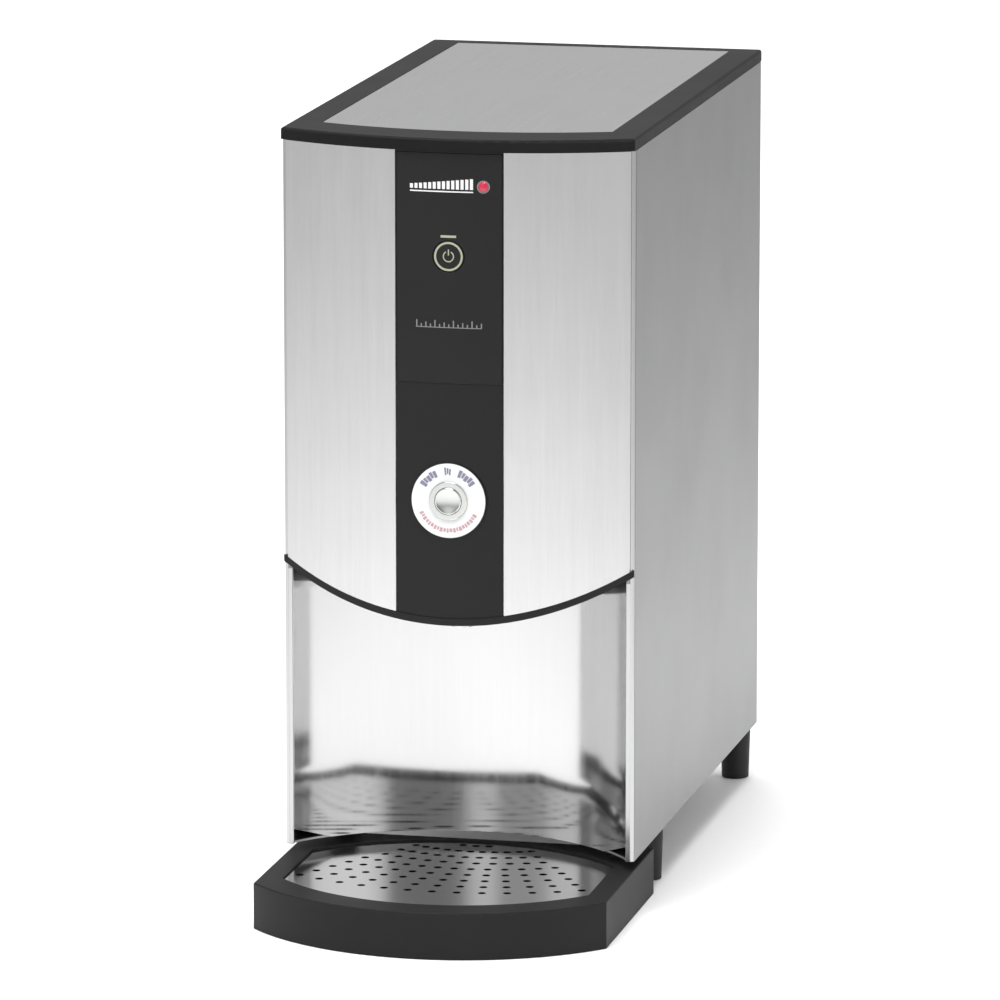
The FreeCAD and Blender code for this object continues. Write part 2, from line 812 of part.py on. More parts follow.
node(
    cut(
        "button_barrel",
        barrel_blank,
        cylinder("barrel_bore", BORE_RADIUS, BARREL_FLOOR - CAP_Y + 1, (0, CAP_Y - 1, "button_z"), "Y"),
        cylinder("barrel_stem_hole", STEM_RADIUS + 0.08, 10, (0, BARREL_FLOOR - 4, "button_z"), "Y"),
    ),
    "button_barrel",
)
PLUNGER_HEAD = 9.0
PLUNGER_Y = CAP_Y - 0.5
STEM_END = BARREL_END + 0.5
plunger = fuse(
    "plunger_blank",
    cone("plunger_crown", "plunger_radius - 0.9", "plunger_radius", 0.6, (0, PLUNGER_Y, "button_z"), "Y"),
    cylinder("plunger_head", "plunger_radius", PLUNGER_HEAD, (0, PLUNGER_Y + 0.6, "button_z"), "Y"),
    cylinder("plunger_stem", STEM_RADIUS, STEM_END - PLUNGER_Y - 1, (0, PLUNGER_Y + 1, "button_z"), "Y"),
)
node(plunger, "button_plunger")
SPRING_Y = PLUNGER_Y + 0.6 + PLUNGER_HEAD + 0.1
spring("button_spring", 5.0, 0.8, BARREL_FLOOR - SPRING_Y - 0.1, 7, (0, SPRING_Y, D["button_z"]), "Y")
SWITCH_Y = STEM_END + D["button_travel"] + 0.2
COLLAR_Y = BARREL_END - 6.0
COLLAR_RADIUS = BARREL_RADIUS + 2.5
collar_length = SWITCH_Y - COLLAR_Y + 1
switch_blank = fuse(
    "switch_blank",
    cylinder("switch_collar", COLLAR_RADIUS, collar_length, (0, COLLAR_Y, "button_z"), "Y"),
    box("switch_case", (26, 10, 15), (-13, SWITCH_Y, "button_z - 7.5")),
    box("switch_tab_left", (1, 7, 4), (-7, SWITCH_Y + 10, "button_z - 2")),
    box("switch_tab_right", (1, 7, 4), (6, SWITCH_Y + 10, "button_z - 2")),
)
switch_bore = cylinder("switch_bore", BARREL_RADIUS, collar_length, (0, COLLAR_Y - 1, "button_z"), "Y")
node(cut("button_switch", switch_blank, switch_bore), "button_switch")


# ---------------------------------------------------------------------------------------------
# Power key and the display board behind the fascia
# ---------------------------------------------------------------------------------------------
KEY_Y = FRONT_Y + 0.6
KEY_TRAVEL = 0.6
KEY_END = -153.2
node(
    fuse(
        "power_key",
        cylinder("power_key_cap", "power_key_radius", 2.6, (0, KEY_Y, "power_key_z"), "Y"),
        cylinder("power_key_stem", 3, KEY_END - KEY_Y - 1, (0, KEY_Y + 1, "power_key_z"), "Y"),
    ),
    "power_key",
)
BOARD_Y = -150.6
TACT_Y = KEY_END + KEY_TRAVEL + 0.2
node(
    fuse(
        "display_board",
        box("display_plate", (54, 1.6, 118), (-27, BOARD_Y, 330)),
        box("display_tact", (7, BOARD_Y - TACT_Y + 0.5, 7), (-3.5, TACT_Y, "power_key_z - 3.5")),
        box("display_led", (10, 2, 3), (-5, BOARD_Y - 1.5, "power_key_z + 12")),
        box("display_chip", (14, 2, 14), (-7, BOARD_Y + 1.1, 362)),
        box("display_socket", (12, 6, 6), (-20, BOARD_Y + 1.1, 333)),
    ),
    "display_board",
)


# ---------------------------------------------------------------------------------------------
# Drip tray and its perforated plate
# ---------------------------------------------------------------------------------------------
GRILLE_GAP = 1.5


def grille_plan(grow):
    """Outline of the plate: bowed forward at the front, following the splash panel at the back."""
    half = D["grille_half"] + grow
    front = D["grille_corner_y"] - grow
    back = SPLASH_RADIUS - GRILLE_GAP + grow
    return outline(
        [
            (-half, front),
            ((0, front - D["grille_bow"]), (half, front)),
            (half, splash_y(half, back)),
            ((0, SPLASH_CENTRE + back), (-half, splash_y(half, back))),
        ]
    )


def tray_plan(inset):
    half, rear = HALF - inset, D["tray_back"] - inset
    radius = TRAY_RADIUS - inset
    side_y = on_circle(TRAY_CENTRE, radius, half, -1)
    middle = TRAY_CENTRE - radius
    return outline([(-half, side_y), ((0, middle), (half, side_y)), (half, rear), (-half, rear)])


LEDGE = 4.0
BASIN_WALL = 3.0
GRILLE_Z = D["tray_height"] - D["grille_recess"] - D["grille_metal"]
tray_block = padded("tray_block", tray_plan(0), "tray_height", "0")
tray_block_rounded = doc.addObject("Part::Fillet", "tray_rounded")
tray_block_rounded.Base = tray_block
doc.recompute()
tray_rim_edges = [
    number
    for number, edge in enumerate(tray_block.Shape.Edges, start=1)
    if min(vertex.Z for vertex in edge.Vertexes) > D["tray_height"] - 0.01
]
tray_block_rounded.Edges = [(number, 0.8, 0.8) for number in tray_rim_edges]
tray_void = cut(
    "tray_void",
    padded("tray_void_outer", tray_plan(D["tray_wall"]), "tray_height - 2 * tray_wall", "-0.01"),
    padded("tray_void_core", grille_plan(BASIN_WALL - LEDGE), "tray_height", "-0.02"),
)
tray_basin = padded("tray_basin", grille_plan(-LEDGE), "tray_height", "tray_wall")
tray_seat = padded("tray_seat", grille_plan(0.3), "tray_height", f"{GRILLE_Z}")
node(cut("drip_tray", tray_block_rounded, tray_void, tray_basin, tray_seat), "drip_tray")

FAN_Y = D["corner_y"] + 108.6
FAN_HALF_ANGLE = 29.0
FIRST_ROW, ROW_STEP, ROWS = 64.0, 14.2, 9
ROW_PITCH = (7.1, 5.35, 5.35, 5.35, 4.75, 4.75, 4.75, 4.75, 4.75)
HOLE_MARGIN = 6.0


def grille_holes():
    """Rows of holes on arcs about a point behind the plate, fanning out towards the user."""
    holes = []
    half = D["grille_half"] - HOLE_MARGIN
    front = bow_radius(D["grille_half"], D["grille_bow"])
    front_centre = D["grille_corner_y"] - D["grille_bow"] + front
    back = SPLASH_RADIUS - GRILLE_GAP - HOLE_MARGIN
    for row in range(ROWS):
        radius = FIRST_ROW + row * ROW_STEP
        steps = int(FAN_HALF_ANGLE / ROW_PITCH[row])
        for step in range(-steps, steps + 1):
            angle = math.radians(step * ROW_PITCH[row])
            x, y = radius * math.sin(angle), FAN_Y - radius * math.cos(angle)
            inside_front = math.hypot(x, y - front_centre) < front - HOLE_MARGIN
            inside_back = math.hypot(x, y - SPLASH_CENTRE) < back
            if abs(x) < half and inside_front and inside_back:
                holes.append(Part.Circle(Vector(x, y), Vector(0, 0, 1), D["grille_hole"] / 2))
    return holes


node(
    padded("drip_tray_grille", grille_plan(0) + grille_holes(), "grille_metal", f"{GRILLE_Z}"),
    "drip_tray_grille",
)


# ---------------------------------------------------------------------------------------------
# Tank with its cover, jacket and shelf
# ---------------------------------------------------------------------------------------------
CORNER = 18.0
FLANGE = 8.0
PORT_RADIUS = 6.0
PORT_BORE = 4.5
FILL_PORT = (50.0, 150.0)
DRAIN_PORT = (0.0, DRAIN_Y)
VENT_PORT = (-50.0, 172.0)
ELEMENT = (10.0, 116.0)
PROBES = ((-45.0, 62.0), (-45.0, 80.0), (-45.0, 98.0))
SENSOR = (52.0, 64.0)
CUTOUT = (52.0, 96.0)
COVER_Z = D["tank_top"] + 2.0
COVER_TOP = COVER_Z + 2.0


def tank_prism(name, grow, height, z):
    half = D["tank_half"] + grow
    front, rear = D["tank_front"] - grow, D["tank_rear"] + grow
    curves = rounded_rectangle(-half, half, front, rear, CORNER + grow)
    return padded(name, curves, height, z)


ports = [
    cylinder("tank_port_outlet", PORT_RADIUS, 24, (0, "tank_front - 22", "outlet_z"), "Y"),
    cylinder("tank_port_fill", PORT_RADIUS, 28, (*FILL_PORT, "tank_bottom - 26")),
    cylinder("tank_port_drain", PORT_RADIUS, 28, (*DRAIN_PORT, "tank_bottom - 26")),
]
port_bores = [
    cylinder("tank_bore_outlet", PORT_BORE, 30, (0, "tank_front - 24", "outlet_z"), "Y"),
    cylinder("tank_bore_fill", PORT_BORE, 34, (*FILL_PORT, "tank_bottom - 30")),
    cylinder("tank_bore_drain", PORT_BORE, 34, (*DRAIN_PORT, "tank_bottom - 30")),
]
tank_height = "tank_top - tank_bottom"
tank_blank = fuse(
    "tank_blank",
    tank_prism("tank_outer", 0, tank_height, "tank_bottom"),
    tank_prism("tank_flange", FLANGE, "tank_metal", "tank_top - tank_metal"),
    *ports,
)
tank_cavity = tank_prism("tank_cavity", -D["tank_metal"], tank_height, "tank_bottom + tank_metal")
node(cut("tank_shell", tank_blank, tank_cavity, *port_bores), "tank_shell")
node(
    cut(
        "tank_gasket",
        tank_prism("gasket_outer", FLANGE, "2", "tank_top"),
        tank_prism("gasket_inner", 0.5, "2", "tank_top"),
    ),
    "tank_gasket",
)
cover_holes = [
    cylinder("cover_hole_element_left", 4.1, 6, (ELEMENT[0] - 10, ELEMENT[1], COVER_Z - 2)),
    cylinder("cover_hole_element_right", 4.1, 6, (ELEMENT[0] + 10, ELEMENT[1], COVER_Z - 2)),
    cylinder("cover_hole_vent", PORT_BORE, 30, (*VENT_PORT, COVER_Z - 2)),
    cylinder("cover_hole_sensor", 3.1, 6, (*SENSOR, COVER_Z - 2)),
]
cover_holes += [
    cylinder(f"cover_hole_probe_{i}", 3.1, 6, (*centre, COVER_Z - 2)) for i, centre in enumerate(PROBES)
]
cover_blank = fuse(
    "cover_blank",
    tank_prism("cover_plate", FLANGE, "2", f"{COVER_Z}"),
    cylinder("cover_vent_spigot", PORT_RADIUS, 14, (*VENT_PORT, COVER_Z)),
)
node(cut("tank_cover", cover_blank, *cover_holes), "tank_cover")

SHELF_FRONT, SHELF_REAR = 28.0, 202.0
jacket_cuts = [
    cylinder("jacket_outlet", PORT_RADIUS + 0.5, 16, (0, "tank_front - 14", "outlet_z"), "Y"),
    cylinder("jacket_fill", PORT_RADIUS + 0.5, 20, (*FILL_PORT, "tank_bottom - 16")),
    cylinder("jacket_drain", PORT_RADIUS + 0.5, 20, (*DRAIN_PORT, "tank_bottom - 16")),
]
node(
    cut(
        "tank_jacket",
        tank_prism("jacket_outer", D["jacket"], "tank_top - tank_metal - 1 - shelf_top", "shelf_top"),
        tank_prism("jacket_inner", 0, tank_height, "tank_bottom"),
        *jacket_cuts,
    ),
    "tank_jacket",
)

LEG_X = D["tank_half"] + D["jacket"]
PAN_FLOOR = D["body_bottom"] + D["pan_metal"]
SHELF_METAL = D["shelf_metal"]
TOE = 5.0
shelf_depth = SHELF_REAR - SHELF_FRONT
shelf_plate_size = (2 * LEG_X, shelf_depth, "shelf_metal")
shelf_leg_size = ("shelf_metal", shelf_depth, f"shelf_top - {PAN_FLOOR}")
shelf_blank = fuse(
    "shelf_blank",
    box("shelf_plate", shelf_plate_size, (-LEG_X, SHELF_FRONT, "shelf_top - shelf_metal")),
    *[
        box(f"shelf_leg_{i}", shelf_leg_size, (x, SHELF_FRONT, PAN_FLOOR))
        for i, x in enumerate((-LEG_X, LEG_X - SHELF_METAL))
    ],
    *[
        box(f"shelf_toe_{i}", (TOE, shelf_depth, SHELF_METAL), (x, SHELF_FRONT, PAN_FLOOR))
        for i, x in enumerate((-LEG_X, LEG_X - TOE))
    ],
)
shelf_cuts = [
    cylinder("shelf_fill_hole", PORT_RADIUS + 1, 6, (*FILL_PORT, "shelf_top - 3")),
    cylinder("shelf_drain_hole", PORT_RADIUS + 1, 6, (*DRAIN_PORT, "shelf_top - 3")),
]
shelf_cuts += [
    box(f"shelf_window_{i}", (2 * LEG_X + 4, 64, 90), (-LEG_X - 2, y, 62)) for i, y in enumerate((42, 124))
]
node(cut("tank_shelf", shelf_blank, *shelf_cuts), "tank_shelf")


# ---------------------------------------------------------------------------------------------
# What hangs in the tank from its cover
# ---------------------------------------------------------------------------------------------
ELEMENT_TOP, ELEMENT_BEND = 416.0, 215.0
left_leg, right_leg = ELEMENT[0] - 10, ELEMENT[0] + 10
element_path = Part.Wire(
    [
        Part.LineSegment(
            Vector(left_leg, ELEMENT[1], ELEMENT_TOP), Vector(left_leg, ELEMENT[1], ELEMENT_BEND)
        ).toShape(),
        Part.Arc(
            Vector(left_leg, ELEMENT[1], ELEMENT_BEND),
            Vector(ELEMENT[0], ELEMENT[1], ELEMENT_BEND - 10),
            Vector(right_leg, ELEMENT[1], ELEMENT_BEND),
        ).toShape(),
        Part.LineSegment(
            Vector(right_leg, ELEMENT[1], ELEMENT_BEND), Vector(right_leg, ELEMENT[1], ELEMENT_TOP)
        ).toShape(),
    ]
)
element_section = Part.Wire([Part.makeCircle(4, Vector(left_leg, ELEMENT[1], ELEMENT_TOP), Vector(0, 0, -1))])
element_rod = solid("element_rod", element_path.makePipeShell([element_section], True, False))
element_flange = cylinder("element_flange", 21, 6, (*ELEMENT, COVER_TOP))
node(fuse("heating_element", element_rod, element_flange), "heating_element")


def probe(name, centre, radius, tip, head_radius):
    """Rod hanging in the tank from a bush that stands on the cover."""
    return fuse(
        name,
        cylinder(f"{name}_rod", radius, f"{COVER_TOP + 8} - {tip}", (*centre, tip)),
        hexagon(f"{name}_bush", head_radius, 6, (*centre, COVER_TOP)),
    )


PROBE_TIPS = (250.0, 330.0, 372.0)
node(
    group(
        "level_probes",
        *[
            probe(f"level_probe_{i}", centre, 3.0, tip, 6.5)
            for i, (centre, tip) in enumerate(zip(PROBES, PROBE_TIPS))
        ],
    ),
    "level_probes",
)
node(probe("temperature_sensor", SENSOR, 3.0, 240.0, 7.5), "temperature_sensor")
node(
    fuse(
        "overheat_cutout",
        cylinder("cutout_disc", 12, 9, (*CUTOUT, COVER_TOP)),
        box("cutout_tab_left", (1, 6, 9), (CUTOUT[0] - 8, CUTOUT[1] - 3, COVER_TOP + 8)),
        box("cutout_tab_right", (1, 6, 9), (CUTOUT[0] + 7, CUTOUT[1] - 3, COVER_TOP + 8)),
    ),
    "overheat_cutout",
)


# ---------------------------------------------------------------------------------------------
# Solenoid valves
# ---------------------------------------------------------------------------------------------
VALVE_HALF = 14.0
VALVE_RISE = 11.0
PLUNGER_RADIUS = 5.0
CHAMBER_RADIUS = PLUNGER_RADIUS + 0.08
CHAMBER_TOP = 47.0
PLUNGER_LIFT = 0.2
PLUNGER_LENGTH = 27.0


def solenoid_valve(prefix, x, y, z, rear_reach, front_reach):
    """Flow block with ports along Y, a stem with a coil round it, a plunger and its spring inside."""
    seat = z + 4
    front_mouth = y - VALVE_HALF - front_reach
    through = 2 * VALVE_HALF + rear_reach + front_reach
    block = box(
        f"{prefix}_block",
        (2 * VALVE_HALF, 2 * VALVE_HALF, 2 * VALVE_RISE),
        (x - VALVE_HALF, y - VALVE_HALF, z - VALVE_RISE),
    )
    stem = cylinder(f"{prefix}_stem", 7, CHAMBER_TOP + 3 - VALVE_RISE, (x, y, z + VALVE_RISE - 1))
    rear = cylinder(f"{prefix}_rear_port", PORT_RADIUS, rear_reach + 1, (x, y + VALVE_HALF - 1, z), "Y")
    front = cylinder(f"{prefix}_front_port", PORT_RADIUS, front_reach + 1, (x, front_mouth, z), "Y")
    passage = cylinder(f"{prefix}_passage", PORT_BORE - 1, through + 4, (x, front_mouth - 2, z), "Y")
    chamber = cylinder(f"{prefix}_chamber", CHAMBER_RADIUS, CHAMBER_TOP - 4, (x, y, seat))
    seat_hole = cylinder(f"{prefix}_seat_hole", 3, 6, (x, y, z))
    node(
        cut(f"{prefix}_body", fuse(f"{prefix}_blank", block, stem, rear, front), passage, chamber, seat_hole),
        f"{prefix}_body",
    )
    coil_z = z + VALVE_RISE + 0.5
    coil = fuse(
        f"{prefix}_coil_blank",
        box(f"{prefix}_coil_case", (31, 30, 32), (x - 15.5, y - 15, coil_z)),
        box(f"{prefix}_coil_tab_a", (1, 6, 9), (x - 6, y - 3, coil_z + 31)),
        box(f"{prefix}_coil_tab_b", (1, 6, 9), (x + 9, y - 3, coil_z + 31)),
    )
    coil_bore = cylinder(f"{prefix}_coil_bore", 7.1, 50, (x, y, coil_z - 5))
    node(cut(f"{prefix}_coil", coil, coil_bore), f"{prefix}_coil")
    plunger_z = seat + PLUNGER_LIFT
    plunger = f"{prefix}_plunger"
    node(cylinder(plunger, PLUNGER_RADIUS, PLUNGER_LENGTH, (x, y, plunger_z)), plunger)
    spring_z = plunger_z + PLUNGER_LENGTH + 0.1
    spring(f"{prefix}_spring", 3.6, 0.8, z + CHAMBER_TOP - spring_z - 0.1, 5, (x, y, spring_z))


DISPENSE_VALVE = (0.0, -22.0, D["outlet_z"])
INLET_VALVE = (D["inlet_x"], 210.0, D["inlet_z"])
INLET_FLANGE_Y = REAR_INNER - 6.0
solenoid_valve("dispense_valve", *DISPENSE_VALVE, 14, 14)
solenoid_valve("inlet_valve", *INLET_VALVE, INLET_FLANGE_Y - INLET_VALVE[1] - VALVE_HALF, 14)


# ---------------------------------------------------------------------------------------------
# Rear fittings
# ---------------------------------------------------------------------------------------------
REACH = D["rear_y"] + D["fitting_reach"] - REAR_INNER
INLET_COLLAR_LENGTH = D["rear_y"] + D["inlet_nut_width"] - REAR_INNER
inlet_blank = fuse(
    "inlet_blank",
    cylinder("inlet_flange", 17, 6, ("inlet_x", INLET_FLANGE_Y, "inlet_z"), "Y"),
    cylinder(
        "inlet_collar_rod", "inlet_collar", INLET_COLLAR_LENGTH, ("inlet_x", REAR_INNER, "inlet_z"), "Y"
    ),
    cylinder("inlet_thread_rod", "inlet_thread", REACH, ("inlet_x", REAR_INNER, "inlet_z"), "Y"),
)
node(
    cut(
        "inlet_fitting",
        inlet_blank,
        cylinder("inlet_bore", 8, 40, ("inlet_x", INLET_FLANGE_Y + 1.5, "inlet_z"), "Y"),
        cylinder("inlet_port", PORT_BORE - 1, 10, ("inlet_x", INLET_FLANGE_Y - 2, "inlet_z"), "Y"),
    ),
    "inlet_fitting",
)

ELBOW_Y = 236.0
overflow_blank = fuse(
    "overflow_blank",
    cylinder("overflow_spigot", "overflow_radius", REACH, ("overflow_x", REAR_INNER, "overflow_z"), "Y"),
    cylinder("overflow_collar", "overflow_radius + 3", 4, ("overflow_x", "rear_y - 1", "overflow_z"), "Y"),
    box(
        "overflow_block",
        (14, REAR_INNER - ELBOW_Y + 7, 14),
        ("overflow_x - 7", ELBOW_Y - 7, "overflow_z - 7"),
    ),
    cylinder("overflow_riser", PORT_RADIUS, 20, ("overflow_x", ELBOW_Y, "overflow_z")),
)
node(
    cut(
        "overflow_fitting",
        overflow_blank,
        cylinder("overflow_bore", 3.5, 30, ("overflow_x", ELBOW_Y, "overflow_z"), "Y"),
        cylinder("overflow_riser_bore", 3.5, 30, ("overflow_x", ELBOW_Y, "overflow_z")),
    ),
    "overflow_fitting",
)

gland_blank = fuse(
    "gland_blank",
    hexagon("gland_hex", 12, 5, ("gland_x", "rear_y", "gland_z"), "Y"),
    cone("gland_dome", 10, 7.5, "fitting_reach - 5", ("gland_x", "rear_y + 5", "gland_z"), "Y"),
    cylinder("gland_thread", GLAND_THREAD, 9, ("gland_x", "rear_y - 9", "gland_z"), "Y"),
)
gland_passage = cylinder("gland_passage", "gland_bore", 40, ("gland_x", 230, "gland_z"), "Y")
node(cut("cable_gland", gland_blank, gland_passage), "cable_gland")


def nut(name, circumradius, bore, width, base, along):
    blank = hexagon(f"{name}_hex", circumradius, width, base, along)
    return cut(name, blank, cylinder(f"{name}_bore", bore, width, base, along))


node(
    group(
        "bulkhead_nuts",
        nut("nozzle_nut", 13, 8, 5, (0, "nozzle_y", "arch_bottom + 3.6"), "Z"),
        nut("button_nut", 14, BARREL_RADIUS, 4, (0, BOSS_END + 0.1, "button_z"), "Y"),
        nut("inlet_nut", 19, "inlet_collar", "inlet_nut_width", ("inlet_x", "rear_y", "inlet_z"), "Y"),
        nut("gland_nut", 12, GLAND_THREAD, 5, ("gland_x", REAR_INNER - 5, "gland_z"), "Y"),
    ),
    "bulkhead_nuts",
)

DRAIN_TOP = 50.0
node(
    cut(
        "drain_plug",
        fuse(
            "drain_blank",
            cylinder("drain_cap", 10, 4, (*DRAIN_PORT, "body_bottom - 4")),
            cylinder("drain_neck", 7, 10, (*DRAIN_PORT, "body_bottom")),
            cylinder("drain_barb", PORT_RADIUS, DRAIN_TOP - D["body_bottom"], (*DRAIN_PORT, "body_bottom")),
        ),
        cylinder("drain_bore", PORT_BORE, 30, (*DRAIN_PORT, "body_bottom + 4")),
    ),
    "drain_plug",
)


# ---------------------------------------------------------------------------------------------
# Hoses and their clips
# ---------------------------------------------------------------------------------------------
HOSE_RADIUS = 8.0
SLEEVE_FRONT = DISPENSE_VALVE[1] + VALVE_HALF + 3
SLEEVE_REAR = D["tank_front"] - D["jacket"] - 1
sleeve_length = SLEEVE_REAR - SLEEVE_FRONT
node(
    tube("outlet_hose", HOSE_RADIUS, PORT_RADIUS, sleeve_length, (0, SLEEVE_FRONT, "outlet_z"), "Y"),
    "outlet_hose",
)
NOZZLE_BARB = D["arch_bottom"] + 20.0
valve_mouth = DISPENSE_VALVE[1] - VALVE_HALF - 3
hose(
    "dispense_hose",
    [
        (0, valve_mouth, D["outlet_z"]),
        (0, -62, D["outlet_z"]),
        (0, -84, 212),
        (0, -108, 219),
        (0, D["nozzle_y"], 209),
        (0, D["nozzle_y"], NOZZLE_BARB - 8),
    ],
    HOSE_RADIUS,
    PORT_RADIUS,
)
fill_start = INLET_VALVE[1] - VALVE_HALF - 3
hose(
    "fill_hose",
    [
        (D["inlet_x"], fill_start, D["inlet_z"]),
        (D["inlet_x"], 168, D["inlet_z"]),
        (D["inlet_x"] - 4, 152, 98),
        (*FILL_PORT, 128),
        (*FILL_PORT, D["shelf_top"] - 5),
    ],
    HOSE_RADIUS,
    PORT_RADIUS,
)
node(
    tube("drain_hose", HOSE_RADIUS, PORT_RADIUS, "shelf_top - 5 - 44", (*DRAIN_PORT, 44)),
    "drain_hose",
)
hose(
    "vent_hose",
    [
        (*VENT_PORT, COVER_TOP + 2),
        (VENT_PORT[0], VENT_PORT[1], 424),
        (VENT_PORT[0] - 2, 196, 440),
        (D["overflow_x"] + 3, 228, 430),
        (D["overflow_x"] + 1, ELBOW_Y, 396),
        (D["overflow_x"] - 2, ELBOW_Y, 330),
        (D["overflow_x"] + 2, ELBOW_Y, 262),
        (D["overflow_x"], ELBOW_Y, 200),
        (D["overflow_x"], ELBOW_Y, D["overflow_z"] + 9),
    ],
    PORT_RADIUS + 1.5,
    PORT_RADIUS,
)


def clip(name, base, along):
    return tube(name, HOSE_RADIUS + 1.2, HOSE_RADIUS, 5, base, along)


node(
    group(
        "hose_clips",
        clip("clip_tank_outlet", (0, SLEEVE_REAR - 7, "outlet_z"), "Y"),
        clip("clip_valve_inlet", (0, SLEEVE_FRONT + 2, "outlet_z"), "Y"),
        clip("clip_valve_outlet", (0, valve_mouth - 7, "outlet_z"), "Y"),
        clip("clip_fill_valve", (D["inlet_x"], fill_start - 7, "inlet_z"), "Y"),
        clip("clip_fill_tank", (*FILL_PORT, "shelf_top - 13"), "Z"),
        clip("clip_drain_top", (*DRAIN_PORT, "shelf_top - 13"), "Z"),
        clip("clip_drain_bottom", (*DRAIN_PORT, 46), "Z"),
    ),
    "hose_clips",
)


# ---------------------------------------------------------------------------------------------
# Electrics
# ---------------------------------------------------------------------------------------------
BOARD_X, BOARD_FRONT = -84.0, 44.0
BOARD_WIDTH, BOARD_DEPTH = 66.0, 140.0
board_top = D["board_z"] + 1.6
node(
    fuse(
        "control_board",
        box("control_plate", (BOARD_WIDTH, BOARD_DEPTH, 1.6), (BOARD_X, BOARD_FRONT, "board_z")),
        box("control_transformer", (34, 30, 26), (BOARD_X + 26, BOARD_FRONT + 8, board_top - 0.1)),
        box("control_relay", (16, 28, 18), (BOARD_X + 8, BOARD_FRONT + 60, board_top - 0.1)),
        box("control_chip", (14, 14, 3), (BOARD_X + 38, BOARD_FRONT + 66, board_top - 0.1)),
        box("control_terminals", (50, 10, 12), (BOARD_X + 8, BOARD_FRONT + 124, board_top - 0.1)),
        box("control_socket", (12, 6, 8), (BOARD_X + 6, BOARD_FRONT + 8, board_top - 0.1)),
        *[
            cylinder(f"control_capacitor_{i}", 6, 20, (x, BOARD_FRONT + 104, board_top - 0.1))
            for i, x in enumerate((BOARD_X + 36, BOARD_X + 50))
        ],
    ),
    "control_board",
)
node(
    group(
        "board_standoffs",
        *[
            hexagon(
                f"board_standoff_{i}{j}",
                3.5,
                f"board_z - {PAN_FLOOR}",
                (BOARD_X + 5 + i * (BOARD_WIDTH - 10), BOARD_FRONT + 5 + j * (BOARD_DEPTH - 10), PAN_FLOOR),
            )
            for i in range(2)
            for j in range(2)
        ],
    ),
    "board_standoffs",
)
FINS = 6
node(
    fuse(
        "heater_relay",
        box("relay_case", (44, 58, 18), (26, 60, PAN_FLOOR)),
        box("relay_sink_base", (44, 58, 4), (26, 60, PAN_FLOOR + 17.9)),
        *[box(f"relay_fin_{i}", (1.6, 58, 10), (26 + 8.4 * i, 60, PAN_FLOOR + 21.8)) for i in range(FINS)],
    ),
    "heater_relay",
)
node(
    fuse(
        "terminal_block",
        box("terminal_base", (42, 16, 14), (-78, 205, PAN_FLOOR)),
        *[cylinder(f"terminal_screw_{i}", 2.5, 2, (-70 + 13 * i, 213, PAN_FLOOR + 13.5)) for i in range(3)],
    ),
    "terminal_block",
)
node(
    fuse(
        "earth_stud",
        hexagon("earth_nut", 5.5, 4, (-18, 222, PAN_FLOOR)),
        cylinder("earth_rod", 2.5, 16, (-18, 222, PAN_FLOOR)),
    ),
    "earth_stud",
)
LEAD_X = LEG_X + 8.0
node(
    solid(
        "display_lead",
        swept(
            [
                (-14, BOARD_Y + 7.15, 336),
                (-14, -128, 336),
                (-44, -108, 326),
                (-78, -74, 308),
                (-LEAD_X + 2, -28, 276),
                (-LEAD_X, 6, 232),
                (-LEAD_X, 24, 178),
                (-LEAD_X, 30, 124),
                (-LEAD_X, 36, 88),
                (-LEAD_X + 6, 50, 76),
                (BOARD_X + 12, BOARD_FRONT + 11, 76),
                (BOARD_X + 12, BOARD_FRONT + 11, board_top + 8),
            ],
            2.5,
        ),
    ),
    "display_lead",
)
node(
    solid(
        "heater_lead",
        swept(
            [
                (48, 118, PAN_FLOOR + 12),
                (48, 128, PAN_FLOOR + 12),
                (66, 138, 60),
                (LEAD_X - 4, 140, 84),
                (LEAD_X, 140, 118),
                (LEAD_X, 138, 160),
                (LEAD_X, 134, 220),
                (LEAD_X, 130, 282),
                (LEAD_X, 128, 344),
                (LEAD_X - 2, 126, 396),
                (LEAD_X - 14, 124, 424),
                (66, 120, 432),
                (right_leg + 8, ELEMENT[1], 430),
                (right_leg, ELEMENT[1], 426),
                (right_leg, ELEMENT[1], ELEMENT_TOP),
            ],
            2.8,
        ),
    ),
    "heater_lead",
)


# ---------------------------------------------------------------------------------------------
# Check the document and write each sub-part
# ---------------------------------------------------------------------------------------------
doc.recompute()
for thing in doc.Objects:
    if "Invalid" in thing.State or "Error" in thing.State:
        raise RuntimeError(f"{thing.Name} did not recompute: {thing.State}")
for thing in subparts:
    if thing.Shape.isNull() or not thing.Shape.isValid() or thing.Shape.Volume <= 0:
        raise RuntimeError(f"{thing.Label} has no valid solid")
for thing in subparts:
    thing.Shape.exportStep(f"parts/{thing.Label}.step")
print(len(subparts), "sub-parts written")
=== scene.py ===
import json
import math

import bmesh
import bpy
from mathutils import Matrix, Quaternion, Vector


